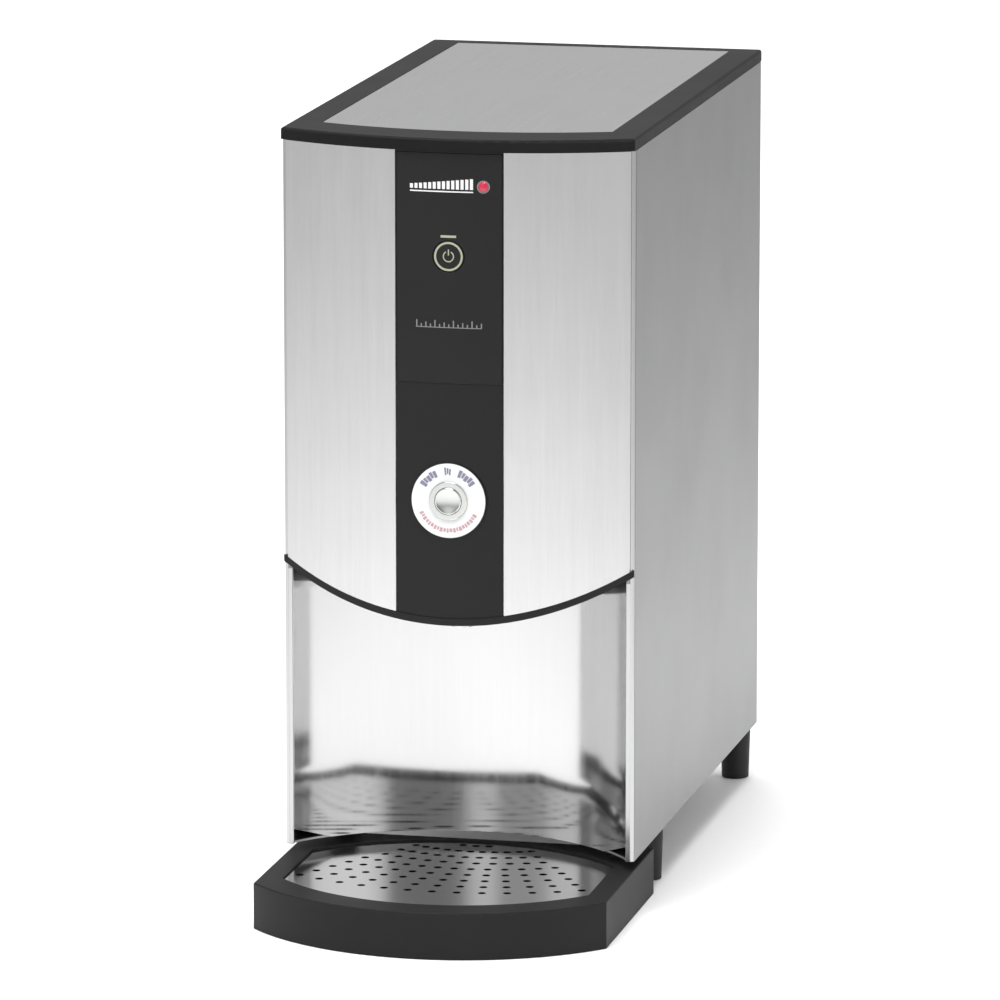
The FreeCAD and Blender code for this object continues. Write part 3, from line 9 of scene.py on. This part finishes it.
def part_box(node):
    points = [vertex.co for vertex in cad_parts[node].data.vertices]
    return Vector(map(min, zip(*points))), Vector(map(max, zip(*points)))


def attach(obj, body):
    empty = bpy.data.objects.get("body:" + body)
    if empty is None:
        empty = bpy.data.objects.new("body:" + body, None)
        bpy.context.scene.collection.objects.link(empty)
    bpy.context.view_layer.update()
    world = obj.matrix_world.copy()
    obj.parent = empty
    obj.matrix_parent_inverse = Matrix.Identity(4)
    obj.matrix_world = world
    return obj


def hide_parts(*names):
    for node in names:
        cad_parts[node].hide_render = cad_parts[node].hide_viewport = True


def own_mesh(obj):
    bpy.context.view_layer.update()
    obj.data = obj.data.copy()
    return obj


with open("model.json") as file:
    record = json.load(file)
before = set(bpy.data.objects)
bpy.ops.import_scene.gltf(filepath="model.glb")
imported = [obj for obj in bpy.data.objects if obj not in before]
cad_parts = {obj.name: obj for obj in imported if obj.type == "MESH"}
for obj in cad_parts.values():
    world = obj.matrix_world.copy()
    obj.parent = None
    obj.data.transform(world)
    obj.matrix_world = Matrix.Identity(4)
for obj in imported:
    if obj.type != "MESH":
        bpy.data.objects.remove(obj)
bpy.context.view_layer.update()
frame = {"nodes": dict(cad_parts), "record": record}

MM = 0.001

# The camera stands to the right of the object's front and looks down on it. Angles are in degrees.
CAMERA_PLACE = (1.01275, -4.45845, 1.1288)
CAMERA_TURN = 12.87
CAMERA_TILT = 11.25
CAMERA_LENS = 278.4

# Brightness of the room round the object: 0 and 1 are behind it, 0.25 left, 0.5 in front, 0.75 right.
ROOM_ROUND = (
    (0.0, 0.66), (0.12, 0.66), (0.25, 1.15), (0.33, 1.05), (0.375, 0.62), (0.42, 0.6),
    (0.455, 1.05), (0.485, 0.7), (0.52, 0.34), (0.58, 0.34), (0.615, 0.95), (0.67, 1.45),
    (0.75, 1.2), (0.85, 0.7), (1.0, 0.66),
)
# The same from the horizon, at 0, to straight up, at 1.
ROOM_UP = ((0.0, 0.95), (0.2, 1.0), (0.6, 0.8), (1.0, 0.62))


def box_mm(node):
    """A CAD node's lowest and highest corners, to a hundredth of a millimetre."""
    return [[round(value / MM, 2) for value in corner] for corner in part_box(node)]


def middle(low, high):
    return (low + high) / 2


# Places read from the frame, in millimetres.
FASCIA_LOW, FASCIA_HIGH = box_mm("control_fascia")
LABEL_FRONT = box_mm("button_label_ring")[0][1]
PLUNGER_LOW, PLUNGER_HIGH = box_mm("button_plunger")
KEY_LOW, KEY_HIGH = box_mm("power_key")
SIDE_LOW, SIDE_HIGH = box_mm("side_panel_right")
BUTTON_CENTRE = (0.0, middle(PLUNGER_LOW[2], PLUNGER_HIGH[2]))
KEY_CENTRE = (0.0, middle(KEY_LOW[2], KEY_HIGH[2]))

# The bowed front is an arc about a line at this Y.
FRONT_CENTRE = 72.52
FASCIA_RADIUS = FRONT_CENTRE - FASCIA_LOW[1]

# A raised mark starts this far inside the surface under it and stands this far proud.
MARK_SINK = 0.05
MARK_RISE = 0.09


# ---------------------------------------------------------------------------------------------
# Camera, lights, floor
# ---------------------------------------------------------------------------------------------
def add_camera():
    data = bpy.data.cameras.new("camera")
    data.sensor_width = 36.0
    data.lens = CAMERA_LENS
    data.clip_end = 60.0
    camera = bpy.data.objects.new("camera", data)
    bpy.context.scene.collection.objects.link(camera)
    camera.location = CAMERA_PLACE
    camera.rotation_euler = (math.radians(90.0 - CAMERA_TILT), 0.0, math.radians(CAMERA_TURN))
    bpy.context.scene.camera = camera


def add_area_light(name, place, target, size, power, turn=0.0, mirrored=True):
    data = bpy.data.lights.new(name, "AREA")
    data.shape = "RECTANGLE"
    data.size, data.size_y = size
    data.energy = power
    light = bpy.data.objects.new(name, data)
    bpy.context.scene.collection.objects.link(light)
    light.location = place
    aim = (Vector(target) - Vector(place)).to_track_quat("-Z", "Y")
    light.rotation_euler = (Quaternion((0, 0, 1), math.radians(turn)) @ aim).to_euler()
    light.visible_camera = False
    light.visible_glossy = mirrored


def add_world():
    """A room bright on both sides and dim behind the camera, which itself sees plain paper white."""
    world = bpy.data.worlds.new("studio")
    bpy.context.scene.world = world
    world.use_nodes = True
    tree = world.node_tree
    tree.nodes.clear()
    place = tree.nodes.new("ShaderNodeTexCoord")
    split = tree.nodes.new("ShaderNodeSeparateXYZ")
    tree.links.new(place.outputs["Generated"], split.inputs[0])
    front = math_node(tree, "MULTIPLY", split.outputs["Y"], -1.0)
    turn = math_node(tree, "ARCTAN2", split.outputs["X"], front)
    around = remap(tree, turn, 0.0, 1.0, (-math.pi, math.pi))
    side = ramp(tree, around, ROOM_ROUND)
    height = ramp(tree, split.outputs["Z"], ROOM_UP)
    room = tree.nodes.new("ShaderNodeBackground")
    paper = tree.nodes.new("ShaderNodeBackground")
    path = tree.nodes.new("ShaderNodeLightPath")
    mix = tree.nodes.new("ShaderNodeMixShader")
    output = tree.nodes.new("ShaderNodeOutputWorld")
    paper.inputs["Strength"].default_value = 1.0
    paper.inputs["Color"].default_value = (1.0, 1.0, 1.0, 1.0)
    room.inputs["Color"].default_value = (1.0, 1.0, 1.0, 1.0)
    tree.links.new(math_node(tree, "MULTIPLY", side, height), room.inputs["Strength"])
    tree.links.new(path.outputs["Is Camera Ray"], mix.inputs["Fac"])
    tree.links.new(room.outputs[0], mix.inputs[1])
    tree.links.new(paper.outputs[0], mix.inputs[2])
    tree.links.new(mix.outputs[0], output.inputs["Surface"])


def add_floor():
    half = 12.0
    corners = [(-half, -half, 0), (half, -half, 0), (half, half, 0), (-half, half, 0)]
    mesh = bpy.data.meshes.new("floor")
    mesh.from_pydata(corners, [], [(0, 1, 2, 3)])
    floor = bpy.data.objects.new("floor", mesh)
    bpy.context.scene.collection.objects.link(floor)
    floor.location.z = -0.0002
    mesh.materials.append(material_floor())


# ---------------------------------------------------------------------------------------------
# Materials
# ---------------------------------------------------------------------------------------------
def shader_tree(name):
    material = bpy.data.materials.new(name)
    material.use_nodes = True
    tree = material.node_tree
    tree.nodes.clear()
    shader = tree.nodes.new("ShaderNodeBsdfPrincipled")
    output = tree.nodes.new("ShaderNodeOutputMaterial")
    tree.links.new(shader.outputs["BSDF"], output.inputs["Surface"])
    return material, tree, shader


def noise(tree, scale, detail=4.0, roughness=0.55, stretch=(1.0, 1.0, 1.0)):
    """Noise in the object's own space. Stretch multiplies the frequency in each direction."""
    place = tree.nodes.new("ShaderNodeTexCoord")
    mapping = tree.nodes.new("ShaderNodeMapping")
    mapping.inputs["Scale"].default_value = stretch
    texture = tree.nodes.new("ShaderNodeTexNoise")
    texture.inputs["Scale"].default_value = scale
    texture.inputs["Detail"].default_value = detail
    texture.inputs["Roughness"].default_value = roughness
    tree.links.new(place.outputs["Object"], mapping.inputs["Vector"])
    tree.links.new(mapping.outputs["Vector"], texture.inputs["Vector"])
    return texture.outputs["Fac"]


def ramp(tree, value, stops):
    """Grey level over a value from 0 to 1, as pairs of position and level."""
    node = tree.nodes.new("ShaderNodeFloatCurve")
    curve = node.mapping.curves[0]
    top = max(level for _, level in stops)
    points = curve.points
    while len(points) < len(stops):
        points.new(0.5, 0.5)
    for point, (position, level) in zip(points, stops):
        point.location = (position, level / top)
        point.handle_type = "AUTO"
    node.mapping.update()
    tree.links.new(value, node.inputs["Value"])
    result = tree.nodes.new("ShaderNodeMath")
    result.operation = "MULTIPLY"
    result.inputs[1].default_value = top
    tree.links.new(node.outputs["Value"], result.inputs[0])
    return result.outputs[0]


def math_node(tree, operation, first, second):
    node = tree.nodes.new("ShaderNodeMath")
    node.operation = operation
    for socket, value in zip(node.inputs, (first, second)):
        if isinstance(value, float):
            socket.default_value = value
        else:
            tree.links.new(value, socket)
    return node.outputs[0]


def remap(tree, value, low, high, source=(0.3, 0.7)):
    node = tree.nodes.new("ShaderNodeMapRange")
    node.inputs["From Min"].default_value, node.inputs["From Max"].default_value = source
    node.inputs["To Min"].default_value = low
    node.inputs["To Max"].default_value = high
    tree.links.new(value, node.inputs["Value"])
    return node.outputs["Result"]


def blend_colours(tree, factor, first, second):
    node = tree.nodes.new("ShaderNodeMix")
    node.data_type = "RGBA"
    node.inputs["A"].default_value = (*first, 1.0)
    node.inputs["B"].default_value = (*second, 1.0)
    tree.links.new(factor, node.inputs["Factor"])
    return node.outputs["Result"]


def bump(tree, target, height, strength, distance):
    """Feed a bump of that height into the target's normal, and return the bump node."""
    node = tree.nodes.new("ShaderNodeBump")
    node.inputs["Strength"].default_value = strength
    node.inputs["Distance"].default_value = distance
    tree.links.new(height, node.inputs["Height"])
    tree.links.new(node.outputs["Normal"], target.inputs["Normal"])
    return node


def stretched(grain, factor):
    """Frequency factors that draw a noise out along one axis."""
    return tuple(factor if axis == grain else 1.0 for axis in "xyz")


def scaled(colour, factor):
    return tuple(channel * factor for channel in colour)


def steel(name, colour, roughness, grain="z", anisotropy=0.6, streak=0.06, relief=0.04, waves=0.0):
    """Metal brushed along one axis, with faint handling marks and, where waves is set, slight waviness."""
    material, tree, shader = shader_tree(name)
    scratches = noise(tree, 2600.0, 3.0, 0.7, stretched(grain, 0.015))
    bands = noise(tree, 260.0, 3.0, 0.6, stretched(grain, 0.03))
    smudge = noise(tree, 11.0, 4.0, 0.55)
    fine_part = math_node(tree, "MULTIPLY", scratches, 0.6)
    broad_part = math_node(tree, "MULTIPLY", bands, 0.4)
    both = math_node(tree, "ADD", fine_part, broad_part)
    shader.inputs["Metallic"].default_value = 1.0
    dark, light = scaled(colour, 1 - streak), scaled(colour, 1 + streak)
    tint = blend_colours(tree, remap(tree, both, 0.0, 1.0), dark, light)
    tree.links.new(tint, shader.inputs["Base Color"])
    grain_gloss = remap(tree, both, roughness - 0.03, roughness + 0.03)
    smudge_gloss = remap(tree, smudge, -0.015, 0.03)
    tree.links.new(math_node(tree, "ADD", grain_gloss, smudge_gloss), shader.inputs["Roughness"])
    shader.inputs["Anisotropic"].default_value = anisotropy
    tangent = tree.nodes.new("ShaderNodeTangent")
    tangent.direction_type = "RADIAL"
    tangent.axis = "Z" if grain == "z" else "X"
    tree.links.new(tangent.outputs[0], shader.inputs["Tangent"])
    scratch_bump = bump(tree, shader, scratches, relief, 0.00005)
    if waves:
        bump(tree, scratch_bump, noise(tree, 14.0, 2.0, 0.5), waves, 0.002)
    return material


def plastic(name, colour, roughness, texture=1800.0, relief=0.15, specular=0.5):
    """Moulded plastic with a fine spark-eroded texture."""
    material, tree, shader = shader_tree(name)
    grain = noise(tree, texture, 2.0, 0.6)
    patches = noise(tree, 14.0, 3.0, 0.5)
    tint = blend_colours(tree, remap(tree, patches, 0.0, 1.0), scaled(colour, 0.92), scaled(colour, 1.08))
    tree.links.new(tint, shader.inputs["Base Color"])
    tree.links.new(remap(tree, patches, roughness - 0.03, roughness + 0.03), shader.inputs["Roughness"])
    shader.inputs["Specular IOR Level"].default_value = specular
    bump(tree, shader, grain, relief, 0.0001)
    return material


def rubber(name, colour, roughness=0.6):
    """Matt rubber with a little dust on it."""
    material, tree, shader = shader_tree(name)
    dust = noise(tree, 120.0, 4.0, 0.6)
    tint = blend_colours(tree, remap(tree, dust, 0.0, 1.0), scaled(colour, 0.85), scaled(colour, 1.2))
    tree.links.new(tint, shader.inputs["Base Color"])
    tree.links.new(remap(tree, dust, roughness - 0.06, roughness + 0.08), shader.inputs["Roughness"])
    shader.inputs["Specular IOR Level"].default_value = 0.35
    bump(tree, shader, dust, 0.1, 0.0001)
    return material


def material_floor():
    material, tree, shader = shader_tree("floor_paper")
    fibre = noise(tree, 300.0, 3.0)
    tint = blend_colours(tree, remap(tree, fibre, 0.0, 1.0), (0.90, 0.90, 0.90), (0.92, 0.92, 0.92))
    tree.links.new(tint, shader.inputs["Base Color"])
    shader.inputs["Roughness"].default_value = 0.9
    shader.inputs["Specular IOR Level"].default_value = 0.1
    return material


MATERIALS = {
    "side_steel": steel("side_steel", (0.265, 0.265, 0.267), 0.36, streak=0.11, relief=0.12, waves=0.05),
    "rear_steel": steel("rear_steel", (0.42, 0.42, 0.422), 0.32, streak=0.10, relief=0.1),
    "front_steel": steel("front_steel", (0.615, 0.615, 0.615), 0.22, streak=0.075, relief=0.08, waves=0.08),
    "inlay_steel": steel("inlay_steel", (0.56, 0.56, 0.562), 0.24, "y", streak=0.08, relief=0.012),
    "splash_steel": steel("splash_steel", (0.565, 0.565, 0.565), 0.085, "z", 0.7, 0.03, 0.015),
    "grille_steel": steel("grille_steel", (0.62, 0.62, 0.62), 0.12, "x", 0.4, 0.03, 0.02),
    "button_steel": steel("button_steel", (0.58, 0.59, 0.57), 0.14, "z", 0.0, 0.02),
    "nozzle_steel": steel("nozzle_steel", (0.66, 0.66, 0.66), 0.2, "z", 0.0, 0.02),
    "pan_steel": steel("pan_steel", (0.50, 0.50, 0.50), 0.35, "y", 0.2, 0.03),
    "screw_steel": steel("screw_steel", (0.60, 0.60, 0.60), 0.25, "z", 0.0, 0.03),
    "spring_steel": steel("spring_steel", (0.55, 0.55, 0.55), 0.25, "z", 0.0, 0.03),
    "tank_steel": steel("tank_steel", (0.60, 0.60, 0.60), 0.25, "z", 0.2, 0.03),
    "fitting_brass": steel("fitting_brass", (0.72, 0.53, 0.27), 0.25, "y", 0.0, 0.05),
    "lid_plastic": plastic("lid_plastic", (0.010, 0.010, 0.010), 0.5, 1100.0, 0.35, specular=0.09),
    "moulding_plastic": plastic("moulding_plastic", (0.008, 0.008, 0.008), 0.42, relief=0.06, specular=0.25),
    "fascia_plastic": plastic("fascia_plastic", (0.010, 0.010, 0.010), 0.35, relief=0.03, specular=0.25),
    "key_plastic": plastic("key_plastic", (0.010, 0.010, 0.010), 0.35, relief=0.03, specular=0.25),
    "tray_plastic": plastic("tray_plastic", (0.0145, 0.0145, 0.0145), 0.5, 1100.0, 0.35, specular=0.14),
    "label_plastic": plastic("label_plastic", (0.74, 0.74, 0.745), 0.35, relief=0.02),
    "inner_plastic": plastic("inner_plastic", (0.05, 0.05, 0.055), 0.45),
    "lead_plastic": plastic("lead_plastic", (0.10, 0.10, 0.105), 0.4),
    "circuit_board": plastic("circuit_board", (0.03, 0.18, 0.09), 0.3),
    "jacket_foam": plastic("jacket_foam", (0.16, 0.16, 0.165), 0.9, 900.0, 0.5),
    "foot_rubber": rubber("foot_rubber", (0.010, 0.010, 0.010)),
    "seal_rubber": rubber("seal_rubber", (0.45, 0.07, 0.04)),
    "hose_rubber": rubber("hose_rubber", (0.55, 0.53, 0.49), 0.35),
    # Painted highlight: a lighter copy of the side panels' steel, for their front-facing bends and flanges.
    "bend_highlight_steel": steel("bend_highlight_steel", (0.50, 0.50, 0.50), 0.2, streak=0.03),
    "print_white": plastic("print_white", (0.72, 0.72, 0.72), 0.5, relief=0.02),
    "print_grey": plastic("print_grey", (0.20, 0.20, 0.20), 0.5, relief=0.02),
    "print_blue": plastic("print_blue", (0.20, 0.20, 0.28), 0.5, relief=0.02),
    "print_red": plastic("print_red", (0.50, 0.30, 0.33), 0.5, relief=0.02),
    "lit_key": plastic("lit_key", (0.34, 0.35, 0.25), 0.4, relief=0.02),
    "lamp_red": plastic("lamp_red", (0.50, 0.012, 0.05), 0.1, relief=0.01, specular=0.8),
}


# ---------------------------------------------------------------------------------------------
# Mesh helpers, in millimetres
# ---------------------------------------------------------------------------------------------
def add_piece(name, points, faces, material, body, sharp=35.0):
    """A closed mesh piece from points in millimetres, smooth below the sharp angle."""
    mesh = bpy.data.meshes.new(name)
    mesh.from_pydata([tuple(MM * value for value in point) for point in points], [], faces)
    shape = bmesh.new()
    shape.from_mesh(mesh)
    bmesh.ops.recalc_face_normals(shape, faces=shape.faces)
    shape.to_mesh(mesh)
    shape.free()
    mesh.shade_smooth()
    mesh.set_sharp_from_angle(angle=math.radians(sharp))
    mesh.materials.append(MATERIALS[material])
    piece = bpy.data.objects.new(name, mesh)
    bpy.context.scene.collection.objects.link(piece)
    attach(piece, body)
    return piece


def add_bands(name, bands, surface, material, body):
    """Raised marks. Each band lies between two lines of (u, v) points on a surface(u, v, height)."""
    points, faces = [], []
    for low, high, closed in bands:
        count = len(low)
        start = len(points)
        for height in (-MARK_SINK, MARK_RISE):
            points += [surface(u, v, height) for u, v in low]
            points += [surface(u, v, height) for u, v in high]
        back_low, back_high, front_low, front_high = (start + row * count for row in range(4))
        for i in range(count if closed else count - 1):
            j = (i + 1) % count
            faces.append((front_low + i, front_low + j, front_high + j, front_high + i))
            faces.append((back_low + i, back_high + i, back_high + j, back_low + j))
            faces.append((back_low + i, back_low + j, front_low + j, front_low + i))
            faces.append((back_high + i, front_high + i, front_high + j, back_high + j))
        if not closed:
            for i in (0, count - 1):
                faces.append((back_low + i, front_low + i, front_high + i, back_high + i))
    return add_piece(name, points, faces, material, body)


def add_lathe(name, profile, centre, material, body, sides=96, sharp=35.0):
    """Turn a profile of (radius, y) about a line along Y. It starts and ends on the axis, with radius 0."""
    x, z = centre
    points = [(x, profile[0][1], z)]
    for radius, y in profile[1:-1]:
        for side in range(sides):
            angle = 2 * math.pi * side / sides
            points.append((x + radius * math.cos(angle), y, z + radius * math.sin(angle)))
    points.append((x, profile[-1][1], z))
    faces = []
    rings = len(profile) - 2
    for side in range(sides):
        after = (side + 1) % sides
        faces.append((0, 1 + side, 1 + after))
        for ring in range(rings - 1):
            low, high = 1 + ring * sides, 1 + (ring + 1) * sides
            faces.append((low + side, high + side, high + after, low + after))
        last = 1 + (rings - 1) * sides
        faces.append((last + side, len(points) - 1, last + after))
    return add_piece(name, points, faces, material, body, sharp)


def arc_points(radius, start, end, count, centre):
    """Points of an arc, in degrees anticlockwise from the right."""
    angles = [math.radians(start + (end - start) * i / count) for i in range(count + 1)]
    return [(centre[0] + radius * math.cos(a), centre[1] + radius * math.sin(a)) for a in angles]


def arc_band(inner, outer, start, end, centre, count):
    """A band along an arc, as its two lines of points and whether it closes on itself."""
    low, high = (arc_points(radius, start, end, count, centre) for radius in (inner, outer))
    return low, high, False


def ring_band(inner, outer, centre, count=96):
    """A band right round a circle."""
    low, high = (arc_points(radius, 0, 360, count, centre)[:-1] for radius in (inner, outer))
    return low, high, True


def box_band(left, right, bottom, top, count=1):
    """A level band. More than one part across lets a long one follow a curved surface."""
    across = [left + (right - left) * i / count for i in range(count + 1)]
    return [(x, bottom) for x in across], [(x, top) for x in across], False


# ---------------------------------------------------------------------------------------------
# Pieces
# ---------------------------------------------------------------------------------------------
def on_fascia(x, z, height):
    """A point that stands that height out from the bowed fascia."""
    return x, FRONT_CENTRE - math.sqrt((FASCIA_RADIUS + height) ** 2 - x * x), z


def on_flat(front):
    """A flat surface that faces the front, at that Y."""
    return lambda x, z, height: (x, front - height, z)


def soften(node_name, width, segments):
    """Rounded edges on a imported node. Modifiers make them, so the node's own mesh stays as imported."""
    node = frame["nodes"][node_name]
    weld = node.modifiers.new("weld", "WELD")
    weld.merge_threshold = 1e-6
    planar = node.modifiers.new("planar", "DECIMATE")
    planar.decimate_type = "DISSOLVE"
    planar.angle_limit = math.radians(0.5)
    edges = node.modifiers.new("edges", "BEVEL")
    edges.width = width * MM
    edges.segments = segments
    edges.limit_method = "ANGLE"
    edges.angle_limit = math.radians(28.0)
    edges.use_clamp_overlap = False
    normals = node.modifiers.new("normals", "WEIGHTED_NORMAL")
    normals.weight = 80


# Node, width of its rounded edges in millimetres, and facets across an edge.
EDGES = (
    ("control_fascia", 0.25, 3),
    ("front_steel_left", 0.45, 4), ("front_steel_right", 0.45, 4), ("side_panel_left", 0.25, 3),
    ("side_panel_right", 0.25, 3), ("splash_panel", 0.25, 3), ("lid_inlay_plate", 0.25, 3),
    ("rear_panel", 0.25, 2), ("button_label_ring", 0.12, 2), ("button_barrel", 0.35, 3),
    ("power_key", 0.25, 3), ("underside_cover", 0.3, 2), ("nozzle", 0.4, 3), ("feet", 0.6, 3),
)


def build_edges():
    for name, width, segments in EDGES:
        soften(name, width, segments)


def build_label_marks():
    """Printed blocks round the upper half of the button's label and fine dashes round the lower half."""
    face = on_flat(LABEL_FRONT)
    upper = []
    left = (7.0, 5.0, 7.0, 5.5, 6.0)
    top = (3.2, 3.2, 3.2)
    right = (6.5, 5.0, 7.0, 5.5, 6.5)
    for angle, spans in ((150.0, left), (97.5, top), (70.0, right)):
        for i, span in enumerate(spans):
            inner = 16.0 if i % 2 else 15.3
            outer = 19.8 - 0.4 * (i % 3)
            upper.append(arc_band(inner, outer, angle, angle - span, BUTTON_CENTRE, 4))
            angle -= span + 1.3
    add_bands("label_marks_upper", upper, face, "print_blue", "casing")
    lower = []
    angle = 203.0
    for i in range(21):
        span = (4.6, 3.4, 5.4)[i % 3]
        lower.append(arc_band(16.4, 18.9 - 0.4 * (i % 2), angle, angle + span, BUTTON_CENTRE, 4))
        angle += span + 1.9
    add_bands("label_marks_lower", lower, face, "print_red", "casing")


def build_fascia_marks():
    """A level scale at the top of the fascia, a light above the key, and a ruled scale below it."""
    pitch = 2.75
    foot = FASCIA_HIGH[2] - 21.0
    level = []
    for i in range(14):
        left = -23.0 + pitch * i
        level.append(box_band(left, left + 1.8, foot, foot + 2.6 + 0.28 * i))
    level.append(box_band(-23.0, 14.55, foot - 1.8, foot - 1.1, 24))
    add_bands("level_scale", level, on_fascia, "print_white", "casing")

    line = KEY_CENTRE[1] - 42.0
    ruled = [box_band(-19.6, 19.6, line, line + 0.45, 24)]
    for i in range(15):
        left = -19.4 + pitch * i
        tick = 4.4 if i % 4 == 0 else 3.2 if i % 2 == 0 else 2.2
        ruled.append(box_band(left, left + 0.7, line + 0.45, line + tick))
    add_bands("ruled_scale", ruled, on_fascia, "print_grey", "casing")

    base = KEY_CENTRE[1] + 11.0
    light = [box_band(-4.6, 4.6, base, base + 1.4, 6)]
    add_bands("status_light", light, on_fascia, "lit_key", "casing")


def build_power_symbol():
    """The key's ring, and inside it an open circle with a stroke in the gap."""
    level = KEY_CENTRE[1]
    bands = [
        ring_band(7.35, 8.5, KEY_CENTRE),
        arc_band(2.7, 3.35, 118.0, 422.0, KEY_CENTRE, 40),
        box_band(-0.35, 0.35, level + 0.6, level + 4.2),
    ]
    add_bands("power_symbol", bands, on_flat(KEY_LOW[1]), "lit_key", "power_key")


def build_pilot_lamp():
    """A domed red lens in a thin bezel on the fascia."""
    x, z = 20.6, FASCIA_HIGH[2] - 19.2
    radius, rim, rise = 3.0, 0.1, 1.1
    front = on_fascia(x, z, 0.0)[1]
    dome = [(0.0, front + 0.3), (radius, front + 0.3), (radius, front - rim)]
    for angle in range(10, 90, 10):
        bulge = math.radians(angle)
        dome.append((radius * math.cos(bulge), front - rim - rise * math.sin(bulge)))
    dome.append((0.0, front - rim - rise))
    add_lathe("pilot_lamp", dome, (x, z), "lamp_red", "casing", 48)
    bezel = [ring_band(radius + 0.05, radius + 0.75, (x, z), 48)]
    add_bands("lamp_bezel", bezel, on_fascia, "print_grey", "casing")


def build_button_cap():
    """The plunger that the finger presses: a dished, polished face with a rolled rim, and a thin stem."""
    radius, front, back = PLUNGER_HIGH[0], PLUNGER_LOW[1], PLUNGER_HIGH[1]
    dish, depth, hollow = 6.9, 0.75, 0.62
    head, stem = 9.6, 2.0
    profile = [(0.0, front + depth)]
    profile += [(r, front + depth - hollow * (r / dish) ** 2) for r in (1.0, 2.0, 3.0, 4.0, 5.0, 6.0, dish)]
    profile += [(7.15, front + 0.03), (7.35, front), (7.6, front + 0.06)]
    profile += [(7.85, front + 0.28), (radius, front + 0.6)]
    profile += [(radius, front + head - 0.4), (radius - 0.4, front + head), (stem, front + head)]
    profile += [(stem, back - 0.3), (stem - 0.3, back), (0.0, back)]
    button = add_lathe("button_dish", profile, BUTTON_CENTRE, "button_steel", "dispense_button", 128, 40.0)
    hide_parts("button_plunger")


def add_ribbon(name, profile, low, high, material, body, steps):
    """A thin closed strip: a profile of (x, y) points with thickness, drawn up between two heights."""
    points, faces = [], []
    count = len(profile)
    for step in range(steps + 1):
        z = low + (high - low) * step / steps
        points += [(x, y, z) for x, y in profile]
    for step in range(steps):
        for i in range(count):
            j = (i + 1) % count
            row, above = step * count, (step + 1) * count
            faces.append((row + i, row + j, above + j, above + i))
    faces.append(tuple(range(count)))
    faces.append(tuple(steps * count + i for i in reversed(range(count))))
    return add_piece(name, points, faces, material, body)


def build_corner_highlights():
    """Painted highlight: thin strips of smoother, lighter steel laid over the front corner bends of the side
    panels and over their flanges below the front, a lit copy of the darker side steel.
    """
    bend_radius, proud, sink = 2.5, 0.04, 0.03
    front = SIDE_LOW[1]
    inside = SIDE_HIGH[0] - bend_radius
    centre = (inside, front + bend_radius)
    low, high, flange_top = SIDE_LOW[2] + 0.4, SIDE_HIGH[2] - 0.5, 200.0
    near, far = front - 0.05, front + 0.02
    flange = [(inside - 2.3, near), (inside, near), (inside, far), (inside - 2.3, far)]
    for side, mark in ((1, "right"), (-1, "left")):
        outer = arc_points(bend_radius + proud, -88, -28, 12, centre)
        inner = arc_points(bend_radius - sink, -28, -88, 12, centre)
        bend = [(side * x, y) for x, y in outer + inner]
        # The bend and flange strips carry the painted highlight in lighter steel.
        bead = add_ribbon(f"corner_highlight_{mark}", bend, low, high, "bend_highlight_steel", "casing", 24)
        face = [(side * x, y) for x, y in flange]
        strip = add_ribbon(f"flange_highlight_{mark}", face, low, flange_top, "bend_highlight_steel", "casing", 12)


def build_springs():
    """Coil springs that start at their upper or rear seats and run the length of the CAD springs they
    replace.
    """
    wire = 0.4
    # Way is the direction that a spring lies along: 1 is Y and 2 is Z.
    for name, way, turns, joint, keep in (
        ("button_spring", 1, 7, "button_press", 0.866),
        ("dispense_valve_spring", 2, 8, "dispense_valve_lift", 0.84),
        ("inlet_valve_spring", 2, 8, "inlet_valve_lift", 0.84),
    ):
        low, high = box_mm(name)
        seat = [middle(a, b) for a, b in zip(low, high)]
        seat[way] = high[way]
        length = high[way] - low[way]
        radius = (high[0] - low[0]) / 2 - wire
        steps, sides = turns * 20, 8
        points, faces = [], []
        for step in range(steps + 1):
            part = step / steps
            angle = 2 * math.pi * turns * part
            rise = -wire - (length - 2 * wire) * part
            for side in range(sides):
                turn = 2 * math.pi * side / sides
                reach = radius + wire * math.cos(turn)
                lift = rise + wire * math.sin(turn)
                u, v = reach * math.cos(angle), reach * math.sin(angle)
                offset = (u, lift, v) if way == 1 else (u, v, lift)
                points.append(tuple(a + b for a, b in zip(seat, offset)))
        for step in range(steps):
            for side in range(sides):
                after = (side + 1) % sides
                row, above = step * sides, (step + 1) * sides
                faces.append((row + side, row + after, above + after, above + side))
        faces.append(tuple(range(sides)))
        faces.append(tuple(steps * sides + side for side in reversed(range(sides))))
        spring = add_piece(f"{name}_coil", points, faces, "spring_steel", "casing", 60.0)
        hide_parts(name)
        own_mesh(spring)


for row in frame["record"]["subparts"]:
    frame["nodes"][row["node"]].material_slots[0].material = MATERIALS[row["material_slot"]]

build_edges()
build_label_marks()
build_fascia_marks()
build_power_symbol()
build_pilot_lamp()
build_button_cap()
build_corner_highlights()
build_springs()

add_camera()
add_world()
add_floor()
add_area_light("front_pool", (-0.15, -0.85, 2.0), (-0.15, -0.85, 0.0), (1.2, 1.2), 34.0)
add_area_light(
    "rear_strip", (-0.38, 1.8, 1.3), (-0.38, 1.8, 0.0), (0.8, 5.4), 43.0, turn=CAMERA_TURN, mirrored=False,
)
bpy.context.scene.view_settings.view_transform = "Standard"
